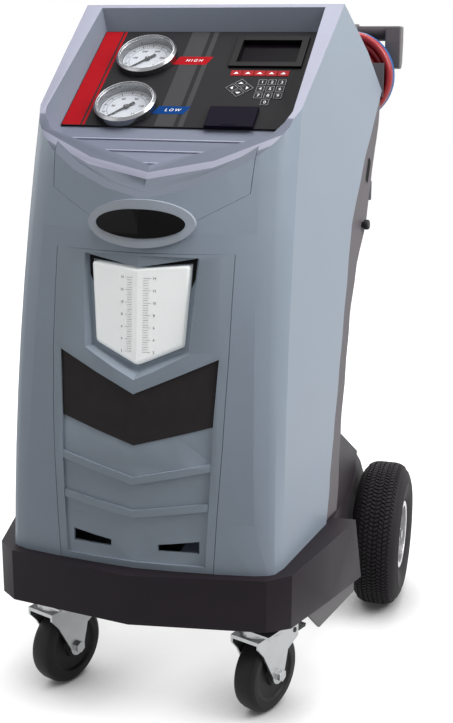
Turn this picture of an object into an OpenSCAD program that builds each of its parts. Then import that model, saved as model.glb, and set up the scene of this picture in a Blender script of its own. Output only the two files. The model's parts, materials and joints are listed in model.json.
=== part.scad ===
// Refrigerant recovery machine: a wheeled service cart with a moulded shell, a tilted
// console with two gauges, an oil bottle in the front and a tank bay at the back.
// Millimetres. The machine faces -Y, +Z is up, the origin is on the ground below its middle.
// Lengths from front to back count from a cross line a little ahead of that middle.

/* [Rear wheels] */
// Outer diameter of the rear tyres
tyre_d = 260; // [250:1:266]
// Width of the rear tyres
tyre_w = 85; // [78:1:88]
// Distance between the middles of the rear tyres
track = 576; // [574:1:590]
// Distance of the rear axle behind the cross line
axle_y = 221.5; // [215:0.5:228]
// Diameter of the rear axle
axle_d = 16; // [14:1:18]
// Diameter of the rim's flange
rim_d = 122; // [112:1:126]

/* [Front casters] */
// Diameter of the caster wheels
caster_d = 127; // [124:1:128]
// Width of the caster wheels
caster_w = 38; // [34:1:40]
// Distance of each swivel from the middle plane
caster_x = 166; // [160:1:170]
// Place of the swivels ahead of the cross line
caster_y = -234; // [-238:1:-228]
// Distance of the caster's axle behind its swivel
caster_trail = 22; // [18:1:26]
// Turn of both casters at rest, in degrees
caster_turn = -21; // [-30:1:30]
// Diameter of the swivel stem
stem_d = 16; // [14:1:18]
// Diameter of the caster's axle bolt
bolt_d = 12; // [10:1:14]

/* [Base and chassis] */
// Height of the chassis floor's underside
floor_z = 160; // [158:1:164]
// Thickness of the chassis sheet
sheet = 4; // [3:0.5:5]
// Height of the base's top ledge, where the shell stands
ledge_z = 260; // [252:1:266]
// Distance of the base's front edge ahead of the cross line
base_front = 351.5; // [349:0.5:354]
// Half width of the base across its front corners
base_corner = 198; // [194:1:202]
// Wall of the base's skirt
skirt_wall = 6; // [5:0.5:8]
// Slope of the base's lower edge, down towards the back
skirt_slope = 0.108; // [0.09:0.002:0.12]

/* [Shell] */
// Height of the console rim's highest edge
shell_top = 1062; // [1050:1:1068]
// Wall of the moulded shell
shell_wall = 4; // [3:0.5:5]
// Distance of the shell's lower front edge ahead of the cross line
shell_front = 323.5; // [321:0.5:325]
// Half width of the shell's front face at the foot
shell_half = 191; // [188:1:193]
// How fast the front leans back, per square millimetre of height
front_lean = 0.000235; // [0.0002:0.000005:0.00025]
// Height at which the front begins to lean back
lean_from = 300; // [290:1:320]
// Gap at the seams between the shell's panels
seam = 0.8; // [0.5:0.1:1.2]
// Thickness of the chin panel
chin_t = 6; // [5:0.5:7]
// Thickness of the lower front panel
bib_t = 9; // [8.5:0.5:10]

/* [Console] */
// Tilt of the console from level, in degrees
panel_tilt = 34.4; // [34:0.1:35]
// Width of the console plate
panel_w = 356; // [350:1:358]
// Length of the console plate up its slope
panel_l = 244; // [242:1:246]
// Thickness of the console plate
panel_t = 3; // [2.5:0.5:3.5]
// Diameter of the gauge bezels
gauge_d = 98; // [94:1:100]
// How far the gauge bezels stand off the plate
gauge_rise = 14; // [12:1:16]
// Travel of a key
key_travel = 0.5; // [0.3:0.1:0.6]
// Gap round a key
key_gap = 0.4; // [0.3:0.05:0.5]
// How far the keys stand off the plate
key_rise = 0.8; // [0.7:0.1:1]

/* [Oil bottle] */
// Width of the oil bottle at its shoulders
bottle_w = 146; // [142:1:148]
// Height of the bottle from its tip to its shoulders
bottle_h = 146; // [143:1:148]
// Depth of the bottle
bottle_depth = 50; // [44:1:52]
// Gap round the bottle in its slot
bottle_gap = 0.6; // [0.5:0.1:1]

/* [Tank] */
// Diameter of the refrigerant tank
tank_d = 214; // [208:1:218]
// Height of the tank's shell without its collar
tank_h = 300; // [280:1:310]

/* [Hoses] */
// Outer diameter of the service hoses
hose_d = 12; // [11.5:0.5:12.5]
// Middle radius of a coil of hose
coil_r = 61; // [60:1:62]

/* [Hidden] */
$fn = 64;
run_fit = 0.05;
touch = 0.3;

// Shell: sections at each height, worked out from a few sizes
shell_z0 = ledge_z;
shoulder_z = 900;
shoulder_y = -165.5;
rim_y = 88.5;
shell_rear = 352;
level_count = 10;
level_step = (shell_top + 18 - shell_z0) / level_count;
bow = 0.35;
function mix2(a, b, k) = a + (b - a) * k;
function rise(z) = (z - shell_z0) / (shoulder_z - shell_z0);
function keel_y(z) = -shell_front + front_lean * pow(max(z - lean_from, 0), 2);
function corner_x(z) = shell_half - 24 * rise(z);
function corner_d(z) = 24 + 25 * rise(z);
function side_x(z) = shell_half + 18 - 10 * rise(z);
function side_d(z) = 39 + 34 * rise(z);
function tail_x(z) = shell_half + 111 - 49 * rise(z);
function front_at(t, z, w) = [
    (corner_x(z) - w) * t,
    keel_y(z) + w + corner_d(z) * (bow * t + (1 - bow) * t * t)
];
function flank(z, w) = let (
    a = front_at(1, z, w),
    b = [side_x(z) - w, keel_y(z) + w + side_d(z)],
    c = [tail_x(z) - w, shell_rear]
) [c, mix2(b, c, 0.03), mix2(a, b, 0.72), mix2(a, b, 0.28),
    front_at(0.93, z, w), front_at(0.66, z, w), front_at(0.33, z, w)];
function mirrored(list) = [for (i = [len(list) - 1:-1:0]) [-list[i][0], list[i][1]]];
function section(z, w) = concat(flank(z, w), [front_at(0, z, w)], mirrored(flank(z, w)));

// Side outline of the shell, as y and z
rim_slope = (shell_top - shoulder_z) / (rim_y - shoulder_y);
lip_slope = 1.07;
shell_back = [
    [rim_y, shell_top], [221, 988], [303, 922], [174, 812],
    [87, 716], [22, 556], [-46, 374], [-80, shell_z0]
];
shell_outline = concat([
    [-420, shell_z0],
    [-420, shoulder_z - lip_slope * (shoulder_y + 420)],
    [shoulder_y, shoulder_z]
], shell_back);
roof = 8;
cavity_outline = [
    [-420, shell_z0 - 60],
    [-420, shoulder_z - roof - lip_slope * (shoulder_y + 420)],
    [shoulder_y + 1, shoulder_z - roof],
    [rim_y - 2, shell_top - roof],
    [219, 988 - roof],
    [shell_rear - 6, 890],
    [shell_rear - 6, shell_z0 - 60]
];

// Front panels, as x and z, right half from the top down
chin_half = [[152, 880], [147, 800], [79, 764]];
bib_half = [[133, 718], [132, 580], [128, 450], [118, shell_z0 + touch]];
badge_z = 759;
chevron_half = [[119, 574], [114, 478]];
chevron_notch = 521;
chevron_tip = 446;
inset_half = [[115, 566], [114, 440], [107, shell_z0 + 10]];
inset_notch = 512;
rib_ends = [[113, 425, 399], [110, 366, 349]];
rib_h = 11;
vent_half = [[97, 307], [97, 288], [36, 288], [36, 298]];

// Oil bottle's place on the front
bottle_z = 640;
bottle_lean = 8;
bottle_set = 11;
fold_set = 3;
shoulder_set = 23;
foot_set = 16.5;
dish_depth = 26;
foot_half = bottle_w / 2 - 7;
bottle_tip = 30;

// Console frame: x across, y up the slope, z off the plate
panel_y = -24.5 + 1.7;
panel_z = 950.5 - 2.5;
gauge_x = -86;
gauge_v = [49, -75];
case_r = gauge_d / 2 - 4;
case_depth = 36;
glass_r = gauge_d / 2 - 7;
dial_t = 1.2;
arbor_d = 3;
tray_ribs = [[172, -150], [142, -176], [66, -203]];
soft_w = 17.6;
soft_l = 13.6;
soft_pitch = 18.6;
soft_u = 105.6;
soft_v = 12;
arrow_w = 15.6;
arrow_u = 81.8;
arrow_v = -25.5;
arrow_off = 11.9;
digit_w = 13.2;
digit_l = 14.4;
digit_pitch_u = 15.2;
digit_pitch_v = 16.4;
digit_u = 129.9;
digit_v = -27.1;
key_t = 1.9;
key_deep = 2.2;
lcd_w = 100;
lcd_l = 63;
lcd_u = 110;
lcd_v = 65.5;
lcd_frame = 8;
lcd_rise = 4;
door_w = 75;
door_l = 49;
door_u = 87;
door_v = -100.5;
door_t = 6;
door_pin = 3;
bay_deep = 42;
soft_keys = [for (i = [0:4]) [str("soft_key_", i + 1), soft_u + (i - 2) * soft_pitch, soft_v]];
arrow_keys = [
    ["up_key", arrow_u, arrow_v + arrow_off], ["left_key", arrow_u - arrow_off, arrow_v],
    ["right_key", arrow_u + arrow_off, arrow_v], ["down_key", arrow_u, arrow_v - arrow_off]
];
digit_keys = concat([["digit_key_0", digit_u - 1.6, digit_v - 2 * digit_pitch_v]],
    [for (n = [1:9]) [
        str("digit_key_", n),
        digit_u + ((n - 1) % 3 - 1) * digit_pitch_u,
        digit_v + (1 - floor((n - 1) / 3)) * digit_pitch_v
    ]]);

// Base outline, right half from the front to the flare ahead of the wheel
flare_y = -18;
base_half = [
    [base_corner, -base_front + 38], [base_corner + 31, -base_front + 67],
    [base_corner + 62, -150], [288, flare_y]
];
flare_x = 246;
bay_x = 238;
bay_wall = 8;
bay_back = 318;

// Back cover outline, as y and z
cover_gap = shell_wall + touch;
cover_wall = 4;
cover_back = [
    [310, 912], [290, 866], [236, 791], [186, 706], [124, 645], [77, 568], [14, 398],
    [-16, ledge_z]
];
cover_front = [
    [-94, ledge_z], [-60, 374], [8, 556], [73, 716], [158, 808], [278, 904], [288, 912]
];

// Tank
tank_y = 214;
tank_r = tank_d / 2;
bay_floor = 12;
tank_z = floor_z + sheet + bay_floor;

// Handle and hose hanger
handle_y = 380;
handle_z = 1019;
handle_r = 13;
block_x = 240;
block_w = 28;
hanger_x = 182;
hanger_z = 944;
hanger_r = coil_r - 1.5 * hose_d - touch;
hanger_y = 305.5;
plate_t = 5;

// Hose coils: two hoses deep and three high, red in front of blue
coil_deep = 2 * hose_d;
coil_high = 3 * hose_d;
red_y = hanger_y + plate_t + touch;
blue_y = red_y + coil_deep + touch;
port_d = 16;
port_l = 18;
red_port = [109, 738];
blue_port = [73, 772];
arm_w = 14;
function cover_y(z) = mix2(cover_back[3][0], cover_back[2][0],
    (z - cover_back[3][1]) / (cover_back[2][1] - cover_back[3][1]));
port_tilt = atan2(cover_back[2][0] - cover_back[3][0], cover_back[2][1] - cover_back[3][1]);

// Hose routes from port to coil and from coil to coupler
red_lead = [
    [109, 220.8, 728.6], [109, 234, 721], [109, 243, 716], [109, 252, 714], [109, 272, 714],
    [109, 290, 721], [109, 304, 733], [109, 314, 749], [109, 317, 768], [109, 317, 800],
    [109, 317, 835], [109, 317, 870], [109, 317, 908]
];
red_tail = [
    [235, 329, 894], [226, 329, 882.5], [220.5, 329, 873], [217, 329, 862], [216, 329, 850],
    [216, 329, 830], [216, 329, 810], [216, 329, 790]
];
blue_lead = [
    [73, 240.8, 762.6], [73, 258, 752.5], [73, 267, 748], [73, 276, 745.5], [73, 296, 745.5],
    [74, 313.5, 752], [77, 328, 764.5], [82, 337.5, 781], [88, 341, 803], [95, 341, 830],
    [102, 341, 858], [107, 341, 884], [109, 341, 908]
];
blue_tail = [
    [196, 353, 872], [184, 353, 869], [174, 353, 864.5], [165, 353, 858.5], [157.5, 353, 850.5],
    [151.5, 353, 841.5], [147, 353, 832], [144, 353, 821], [143, 353, 810], [143, 353, 788],
    [143, 353, 765]
];
coupler_d = 28;
coupler_l = 62;

// Distance of the machine's middle behind the cross line
mid_y = 24;

// Shared shapes

// Body swept through the shell's sections, each moved in by w
module loft(w) {
    rings = [for (i = [0:level_count]) let (z = shell_z0 - 6 + i * level_step)
        [for (p = section(z, w)) [p[0], p[1], z]]];
    n = len(rings[0]);
    sides = [for (i = [0:level_count - 1], j = [0:n - 1], half = [0, 1])
        let (a = i * n + j, b = i * n + (j + 1) % n)
        half == 0 ? [a, b, b + n] : [a, b + n, a + n]];
    polyhedron(
        points = [for (r = rings, p = r) p],
        faces = concat(sides,
            [[for (j = [n - 1:-1:0]) j]],
            [[for (j = [0:n - 1]) level_count * n + j]])
    );
}

// Outline given as y and z, drawn out across the machine between two x
module across(x0, x1) {
    rotate([90, 0, 90]) translate([0, 0, x0]) linear_extrude(x1 - x0) children();
}

// Outline given as x and z, drawn out from y0 back to y1
module back_to(y0, y1) {
    translate([0, y1, 0]) rotate([90, 0, 0]) linear_extrude(y1 - y0) children();
}

// Right half given from the top down, closed by its mirror image
module both_halves(half, top, bottom) {
    left = [for (i = [len(half) - 1:-1:0]) [-half[i][0], half[i][1]]];
    polygon(concat([[0, top]], half, [[0, bottom]], left));
}

function grown(half, g) = [for (p = half) [p[0] + g, p[1]]];

module oval(a, b) {
    polygon([for (i = [0:47]) [a * cos(i * 7.5), b * sin(i * 7.5)]]);
}

module shell_body() {
    intersection() {
        loft(0);
        across(-320, 320) polygon(shell_outline);
    }
}

// Slice of the front between two depths below the shell's surface
module front_slice(outer, inner) {
    difference() {
        intersection() {
            loft(outer);
            back_to(-420, -120) children();
        }
        loft(inner);
    }
}

module on_panel() {
    translate([0, panel_y, panel_z]) rotate([panel_tilt, 0, 0]) children();
}

module on_front() {
    translate([0, keel_y(bottle_z), bottle_z]) rotate([90 - bottle_lean, 0, 0]) children();
}

// Console recess with its drawn sides; g grows it to leave a wall round it
module recess(g) {
    low = [
        [178 + g, 124 + g], [178 + g, -122 - g], [172 + g, -148 - g],
        [158 + g, -170 - g], [0, -226 - g]
    ];
    high = [
        [194 + g, 168 + g], [194 + g, -130 - g], [186 + g, -154 - g],
        [172 + g, -176 - g], [0, -241 - g]
    ];
    on_panel() hull() {
        translate([0, 0, -g]) linear_extrude(0.2) both_ends(low);
        translate([0, 0, 60]) linear_extrude(0.2) both_ends(high);
    }
}

module both_ends(half) {
    polygon(concat(half, [for (i = [len(half) - 1:-1:0]) [-half[i][0], half[i][1]]]));
}

// Sub-parts

module base_tray() {
    color("#2b292d") {
        difference() {
            intersection() {
                linear_extrude(ledge_z) polygon(base_plan());
                across(-330, 330) polygon([
                    [-420, ledge_z], [100, ledge_z],
                    [100, 145 - skirt_slope * 100], [-420, 145 + skirt_slope * 420]
                ]);
            }
            translate([0, 0, -1]) linear_extrude(ledge_z - 5) polygon(base_hollow());
            translate([0, 0, ledge_z - 10]) linear_extrude(20) polygon(base_mouth());
            translate([-bay_x + 6, 30, 100]) cube([2 * bay_x - 12, 30, floor_z + sheet - 100]);
            for (side = [0, 1]) mirror([side, 0, 0]) across(flare_x, 330) polygon([
                [flare_y - 32, ledge_z + 1], [flare_y, 148], [60, 148], [60, ledge_z + 1]
            ]);
        }
        for (side = [0, 1]) mirror([side, 0, 0]) bay_side();
        translate([-bay_x, 40, floor_z + sheet]) cube([2 * bay_x, bay_back - 40, bay_floor]);
    }
}

function both_sides(half) = concat(half, [for (i = [len(half) - 1:-1:0]) [-half[i][0], half[i][1]]]);

function base_plan() = concat([[0, -base_front]],
    both_sides(concat(base_half, [[flare_x, flare_y], [flare_x, 10], [bay_x, 44]])));

function base_hollow() = concat([[0, -base_front + skirt_wall]], both_sides(concat(
    [for (i = [0:2]) [base_half[i][0] - skirt_wall, base_half[i][1] + skirt_wall]],
    [[272, flare_y - 44], [bay_x - 6, flare_y - 44], [bay_x - 6, 38]]
)));

function base_mouth() = [
    [0, -shell_front + 16], [shell_half - 16, -shell_front + 38], [shell_half + 18, -110],
    [shell_half + 18, -8], [-shell_half - 18, -8], [-shell_half - 18, -110],
    [-shell_half + 16, -shell_front + 38]
];

// Side wall of the tank bay inside the wheel, with the fender's raised face on it
module bay_side() {
    across(bay_x - bay_wall, bay_x) polygon([
        [38, floor_z + sheet], [38, ledge_z - 5], [-13, ledge_z + 1], [13, 383], [188, 295],
        [254, 254], [bay_back - 8, 206], [bay_back, 196], [bay_back, floor_z + sheet]
    ]);
    across(bay_x - 1, bay_x + 4) polygon([
        [-13, ledge_z - 2], [-13, ledge_z + 1], [13, 383], [188, 295], [179, 260], [103, 244], [30, 247]
    ]);
}

module chassis() {
    color("#6a686a") {
        translate([0, 0, floor_z]) linear_extrude(sheet) polygon(chassis_plan());
        for (side = [-1, 1]) mirror([side < 0 ? 1 : 0, 0, 0]) {
            translate([238, -206, 0]) rotate([0, 0, -11.8]) across(-sheet, 0)
                polygon([
                    [0, floor_z + 1], [46, 120], [190, 120], [190, 143], [140, 143], [140, floor_z + 1]
                ]);
            difference() {
                across(bay_x - 18, bay_x - 12) polygon([
                    [axle_y - 60, floor_z + 1], [axle_y - 22, tyre_d / 2 - 24],
                    [axle_y + 22, tyre_d / 2 - 24], [axle_y + 60, floor_z + 1]
                ]);
                translate([bay_x - 30, axle_y, tyre_d / 2]) rotate([0, 90, 0])
                    cylinder(d = axle_d + 2 * run_fit, h = 40);
            }
        }
        translate([-130, -66, floor_z + sheet]) cube([260, sheet, 470]);
    }
}

function chassis_plan() = concat([[0, -276]], both_sides([
    [180, -276], [212, -262], [236, -206], [264.8, -68], [bay_x - 12, -68], [bay_x - 12, bay_back - 4]
]));

module front_shell() {
    color("#8f97a3") difference() {
        shell_body();
        difference() {
            intersection() {
                loft(shell_wall);
                across(-320, 320) polygon(cavity_outline);
            }
            recess(shell_wall);
        }
        recess(0);
        front_slice(-20, chin_t + touch) both_halves(grown(chin_half, seam), 900, 763);
        front_slice(-20, bib_t + touch)
            both_halves(concat(grown(bib_half, seam), [[bib_half[3][0] + seam, shell_z0 - 10]]),
                bib_half[0][1] + seam, shell_z0 - 20);
        on_panel() console_cuts(1.5);
    }
    color("#8f97a3") on_panel() for (r = tray_ribs)
        translate([-r[0], r[1] - 1.2, -1]) cube([2 * r[0], 2.4, 2.6]);
}

// Holes through the console floor for what hangs below the plate
module console_cuts(gap) {
    gauge_cuts(gap);
    lcd_cut();
    translate([door_u - door_w / 2 + 6 - gap, door_v - 1 - door_l / 2 + 6 - gap, -60])
        cube([door_w - 12 + 2 * gap, door_l - 12 + 2 * gap, 80]);
}

module gauge_cuts(gap) {
    for (v = gauge_v) translate([gauge_x, v, -60]) cylinder(r = case_r + gap, h = 80);
}

module lcd_cut() {
    translate([lcd_u - lcd_w / 2, lcd_v - lcd_l / 2, -60]) cube([lcd_w, lcd_l, 80]);
}

module chin_panel() {
    color("#8f97a3") intersection() {
        front_slice(0, chin_t) both_halves(chin_half, 900, 764);
        across(-320, 320) polygon(shell_outline);
    }
}

module bib_panel() {
    color("#878f9b") difference() {
        union() {
            difference() {
                front_slice(0, bib_t)
                    both_halves(bib_half, bib_half[0][1], shell_z0 + touch);
                front_slice(-5, 4) both_halves(inset_half, inset_notch, shell_z0 + 10);
            }
            for (r = rib_ends) front_slice(0.5, 6) polygon([
                [0, r[2]], [r[0], r[1]], [r[0], r[1] - rib_h], [0, r[2] - rib_h],
                [-r[0], r[1] - rib_h], [-r[0], r[1]]
            ]);
            intersection() {
                on_front() dish(4);
                loft(1);
                back_to(-420, -120) both_halves(bib_half, bib_half[0][1], shell_z0);
            }
        }
        on_front() dish(0);
        on_front() bottle_form(bottle_gap, 60);
        front_slice(-5, 5.6) chevron_outline(touch);
        for (m = [0, 1]) mirror([m, 0, 0]) back_to(-420, -200) polygon(vent_half);
    }
}

// Dished surround of the bottle, in the front's own frame
module dish(g) {
    wide = [[102 + g, 76], [90 + g, -60 - g], [0, -107 - g]];
    slim = [[foot_half + 15 + g, 76], [foot_half + 5 + g, -56 - g], [0, -86 - g]];
    hull() {
        translate([0, 0, 14]) linear_extrude(0.2) both_ends(concat([[0, 72]], wide));
        translate([0, 0, -dish_depth - g]) linear_extrude(0.2) both_ends(concat([[0, 72]], slim));
    }
}

// Bottle outline with a keel down its front, drawn deep into its slot
module bottle_form(g, depth) {
    a = bottle_w / 2 + g;
    b = foot_half + g;
    top = 66 + g;
    sill = top - bottle_h + bottle_tip - 2 * g;
    tip = sill - bottle_tip;
    p = [
        [a, top, -shoulder_set], [b, sill, -foot_set], [0, tip, -bottle_set], [-b, sill, -foot_set],
        [-a, top, -shoulder_set], [0, top - 8, -fold_set]
    ];
    n = len(p);
    polyhedron(
        points = concat(p, [for (q = p) [q[0], q[1], -depth]]),
        faces = concat([[0, 1, 5], [1, 2, 5], [5, 2, 3], [5, 3, 4]],
            [for (i = [0:n - 1]) let (j = (i + 1) % n) [i, i + n, j + n, j]],
            [[for (i = [n - 1:-1:0]) i + n]])
    );
}

module oil_bottle() {
    color("#e4e8e8") on_front() bottle_form(0, bottle_depth);
}

module chevron_outline(g) {
    polygon([
        [0, chevron_notch + g], [chevron_half[0][0] + g, chevron_half[0][1] + g],
        [chevron_half[1][0] + g, chevron_half[1][1] - g], [0, chevron_tip - g],
        [-chevron_half[1][0] - g, chevron_half[1][1] - g],
        [-chevron_half[0][0] - g, chevron_half[0][1] + g]
    ]);
}

module chevron_plate() {
    color("#2d2b2c") front_slice(3, 5.4) chevron_outline(0);
}

// Raised oval surround with a bare oval plate set into it
module badge() {
    color("#9aa2ae") difference() {
        front_slice(-7, -touch) translate([0, badge_z]) oval(79, 33);
        front_slice(-12, -4) translate([0, badge_z]) oval(66, 20);
    }
    color("#1d1c1d") front_slice(-8.5, -4) translate([0, badge_z]) oval(65.7, 19.7);
}

// Hollow cover that closes the shell's back, with the handle's arms and the hose hanger
module back_cover() {
    color("#5f5d60") {
        difference() {
            intersection() {
                loft(cover_gap);
                across(-320, 320) polygon(concat(cover_back, cover_front));
            }
            intersection() {
                loft(cover_gap + cover_wall);
                across(-320, 320) polygon(concat(
                    [[cover_back[0][0] - 1.5 * cover_wall, cover_back[0][1] - cover_wall]],
                    [for (i = [1:len(cover_back) - 1]) [cover_back[i][0] - 1.5 * cover_wall, cover_back[i][1]]],
                    [[-300, ledge_z - cover_wall], [-300, cover_back[0][1] - cover_wall]]
                ));
            }
        }
        for (side = [-1, 1]) mirror([side < 0 ? 1 : 0, 0, 0])
            across(hanger_x - arm_w / 2, hanger_x + arm_w / 2) difference() {
                union() {
                    polygon([
                        [290, 876], [304, 911], [360, 976], [handle_y - 14, handle_z],
                        [handle_y + 12, handle_z], [380, 974], [330, 930], [309, 905], [296, 879]
                    ]);
                    translate([handle_y, handle_z]) circle(r = handle_r + 3.5);
                }
                translate([handle_y, handle_z]) circle(r = handle_r + run_fit);
            }
        hanger();
    }
}

// Plate on the cover's top with the half-round saddle that the coiled hoses hang on
module hanger() {
    front = hanger_y;
    back = blue_y + coil_deep + touch;
    foot = hanger_z - cover_back[0][1] + 1;
    translate([hanger_x, 0, hanger_z]) difference() {
        union() {
            back_to(front, front + plate_t) {
                translate([-66, -foot]) square([132, foot + 25]);
                circle(r = hanger_r);
            }
            back_to(front, back + 3) circle(r = hanger_r);
            back_to(back, back + 3) circle(r = hanger_r + 10);
        }
        back_to(front - 1, back + 9) translate([-100, -foot - 200]) square([200, 200]);
        back_to(front + plate_t, back + 9) circle(r = hanger_r - 5);
    }
}

// Threaded ports on the cover's back that the hoses are screwed to
module hose_ports() {
    color("#b79a56") for (p = [red_port, blue_port]) translate([p[0], cover_y(p[1]), p[1]])
        rotate([-90 - port_tilt, 0, 0]) translate([0, 0, touch / 2]) {
            cylinder(d = port_d, h = port_l);
            cylinder(d = port_d + 8, h = 6, $fn = 6);
        }
}

module handle_bar() {
    color("#4a474b") translate([-block_x, handle_y, handle_z]) rotate([0, 90, 0])
        cylinder(r = handle_r, h = 2 * block_x);
}

module handle_blocks() {
    color("#777478") for (side = [-1, 1]) mirror([side < 0 ? 1 : 0, 0, 0])
        across(block_x, block_x + block_w) polygon([
            [361, 1032], [396, 1032], [399.5, 1004], [396, 968], [386, 957], [364, 960], [361, 1004]
        ]);
}

// Console plate with the key pockets and the printer's paper bay moulded below it
module console_plate() {
    w = door_w - 12;
    l = door_l - 12;
    color("#2a292c") on_panel() difference() {
        union() {
            translate([-panel_w / 2, -panel_l / 2, 0]) cube([panel_w, panel_l, panel_t]);
            translate([door_u - w / 2, door_v - 1 - l / 2, -bay_deep]) cube([w, l, bay_deep + 1]);
        }
        gauge_cuts(0.5);
        lcd_cut();
        translate([door_u - w / 2 + 2, door_v - 1 - l / 2 + 2, -bay_deep + 2])
            cube([w - 4, l - 4, bay_deep + 20]);
        for (k = soft_keys) key_pocket(k, soft_w, soft_l, 0);
        for (k = arrow_keys) key_pocket(k, arrow_w, arrow_w, 45);
        for (k = digit_keys) key_pocket(k, digit_w, digit_l, 0);
    }
}

module key_pocket(k, w, l, turn) {
    translate([k[1], k[2], panel_t - key_deep + 5]) rotate([0, 0, turn])
        cube([w + 2 * key_gap, l + 2 * key_gap, 10], center = true);
}

module key(k, w, l, turn, tint) {
    color(tint) on_panel() translate([k[1], k[2], panel_t + key_rise - key_t / 2])
        rotate([0, 0, turn]) cube([w, l, key_t], center = true);
}

// Gauge parts, turned about the gauge's own axis
module each_gauge() {
    on_panel() for (v = gauge_v) translate([gauge_x, v, panel_t]) children();
}

module gauge_cases() {
    color("#b9bbbe") each_gauge() {
        rotate_extrude() difference() {
            union() {
                translate([0, -case_depth]) square([case_r, case_depth]);
                square([gauge_d / 2, gauge_rise - 4]);
                polygon([
                    [0, gauge_rise - 4], [gauge_d / 2, gauge_rise - 4],
                    [gauge_d / 2 - 4, gauge_rise], [0, gauge_rise]
                ]);
            }
            translate([0, -6]) square([glass_r, gauge_rise + 10]);
            translate([0, gauge_rise - 3]) square([glass_r + 1.5, 10]);
        }
        translate([0, 0, -8]) cylinder(d = arbor_d, h = 11);
    }
}

module gauge_dials() {
    color("#f0f0ee") each_gauge() difference() {
        translate([0, 0, -6]) cylinder(r = glass_r - 0.2, h = dial_t);
        translate([0, 0, -10]) cylinder(d = arbor_d + 2 * touch, h = 20);
    }
}

module gauge_lenses() {
    color("#dfe6ea", 0.3) each_gauge()
        translate([0, 0, gauge_rise - 3]) cylinder(r = glass_r + 1.3, h = 2);
}

// Pointer at its zero, turned down and to the left
module pointer(v) {
    color("#1b1b1b") on_panel() translate([gauge_x, v, panel_t - 1]) difference() {
        union() {
            cylinder(r = 4.5, h = 2.5);
            rotate([0, 0, 135]) linear_extrude(1)
                polygon([[-1.6, -13], [1.6, -13], [1.1, 0], [0.5, 34], [-0.5, 34], [-1.1, 0]]);
        }
        translate([0, 0, -5]) cylinder(d = arbor_d + 2 * run_fit, h = 20);
    }
}

module high_pointer() { pointer(gauge_v[0]); }
module low_pointer() { pointer(gauge_v[1]); }

// Display: a raised frame and a dark window set back in it
module display() {
    color("#232225") on_panel() translate([lcd_u, lcd_v, 0]) difference() {
        union() {
            translate([-lcd_w / 2 - lcd_frame, -lcd_l / 2 - lcd_frame, panel_t])
                cube([lcd_w + 2 * lcd_frame, lcd_l + 2 * lcd_frame, lcd_rise]);
            translate([-lcd_w / 2 + touch, -lcd_l / 2 + touch, -8])
                cube([lcd_w - 2 * touch, lcd_l - 2 * touch, 12]);
        }
        translate([-lcd_w / 2 + 3, -lcd_l / 2 + 3, -3]) cube([lcd_w - 6, lcd_l - 6, 40]);
    }
}

// Lid over the paper bay, hinged along its upper edge
module printer_door() {
    h0 = panel_t + touch;
    color("#221f26") on_panel() translate([door_u, door_v, h0]) {
        translate([-door_w / 2, -door_l / 2, 0]) cube([door_w, door_l - door_pin, door_t]);
        translate([-door_w / 2, door_l / 2 - door_pin, door_pin]) rotate([0, 90, 0])
            cylinder(r = door_pin, h = door_w);
    }
}

// Casters, in a frame whose +Y trails behind the swivel
module at_caster(side) {
    translate([side * caster_x, caster_y, 0]) rotate([0, 0, caster_turn]) children();
}

crown_z = caster_d + 6;
crown_t = 6;
boss_z = floor_z - sheet - 8;
leg_gap = caster_w / 2 + 3;
leg_t = 4;

module caster_plates() {
    color("#b4b6b8") for (side = [-1, 1]) at_caster(side) difference() {
        union() {
            translate([-50, -43, floor_z - sheet]) cube([100, 86, sheet]);
            translate([0, 0, boss_z]) cylinder(d = 52, h = 8);
        }
        translate([0, 0, boss_z - 1]) cylinder(d = stem_d + 2 * run_fit, h = 30);
    }
}

module fork(side) {
    axle_z = caster_d / 2;
    color("#c2c4c6") at_caster(side) {
        translate([0, 0, crown_z]) cylinder(d = 56, h = boss_z - crown_z - 0.5);
        translate([0, 0, crown_z]) cylinder(d = stem_d, h = floor_z - crown_z - 0.4);
        translate([-leg_gap - leg_t, -34, crown_z]) cube([2 * (leg_gap + leg_t), 108, crown_t]);
        for (s = [0, 1]) mirror([s, 0, 0]) difference() {
            across(leg_gap, leg_gap + leg_t) {
                polygon([
                    [-34, crown_z + crown_t], [-34, crown_z - 6], [-20, crown_z - 22],
                    [caster_trail - 15, axle_z], [caster_trail + 15, axle_z],
                    [caster_trail + 24, crown_z - 36], [74, crown_z - 24], [74, crown_z + crown_t]
                ]);
                translate([caster_trail, axle_z]) circle(r = 15);
            }
            across(leg_gap - 1, leg_gap + leg_t + 1) translate([brake_y, brake_z])
                circle(d = brake_pin + 2 * run_fit);
        }
        translate([-leg_gap - leg_t - 7, caster_trail, axle_z]) rotate([0, 90, 0])
            cylinder(d = bolt_d, h = 2 * (leg_gap + leg_t + 7));
        for (s = [-1, 1]) translate([s * (leg_gap + leg_t + 3.5), caster_trail, axle_z])
            rotate([0, 90, 0]) cylinder(d = 19, h = 7, center = true, $fn = 6);
    }
}

module caster_wheel(side) {
    color("#262427") at_caster(side) translate([0, caster_trail, caster_d / 2])
        rotate([0, 90, 0]) rotate_extrude() polygon([
            [bolt_d / 2 + run_fit, -caster_w / 2 - 2], [18, -caster_w / 2 - 2],
            [20, -caster_w / 2 + 4], [40, -caster_w / 2 + 4], [44, -caster_w / 2],
            [caster_d / 2 - 8, -caster_w / 2], [caster_d / 2 - 2, -caster_w / 2 + 4],
            [caster_d / 2, -caster_w / 2 + 11], [caster_d / 2, caster_w / 2 - 11],
            [caster_d / 2 - 2, caster_w / 2 - 4], [caster_d / 2 - 8, caster_w / 2],
            [44, caster_w / 2], [40, caster_w / 2 - 4], [20, caster_w / 2 - 4],
            [18, caster_w / 2 + 2], [bolt_d / 2 + run_fit, caster_w / 2 + 2]
        ]);
}

// Foot pedal of the caster brake, on a pin between the fork's legs
brake_y = 64;
brake_z = 122;
brake_pin = 8;

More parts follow.
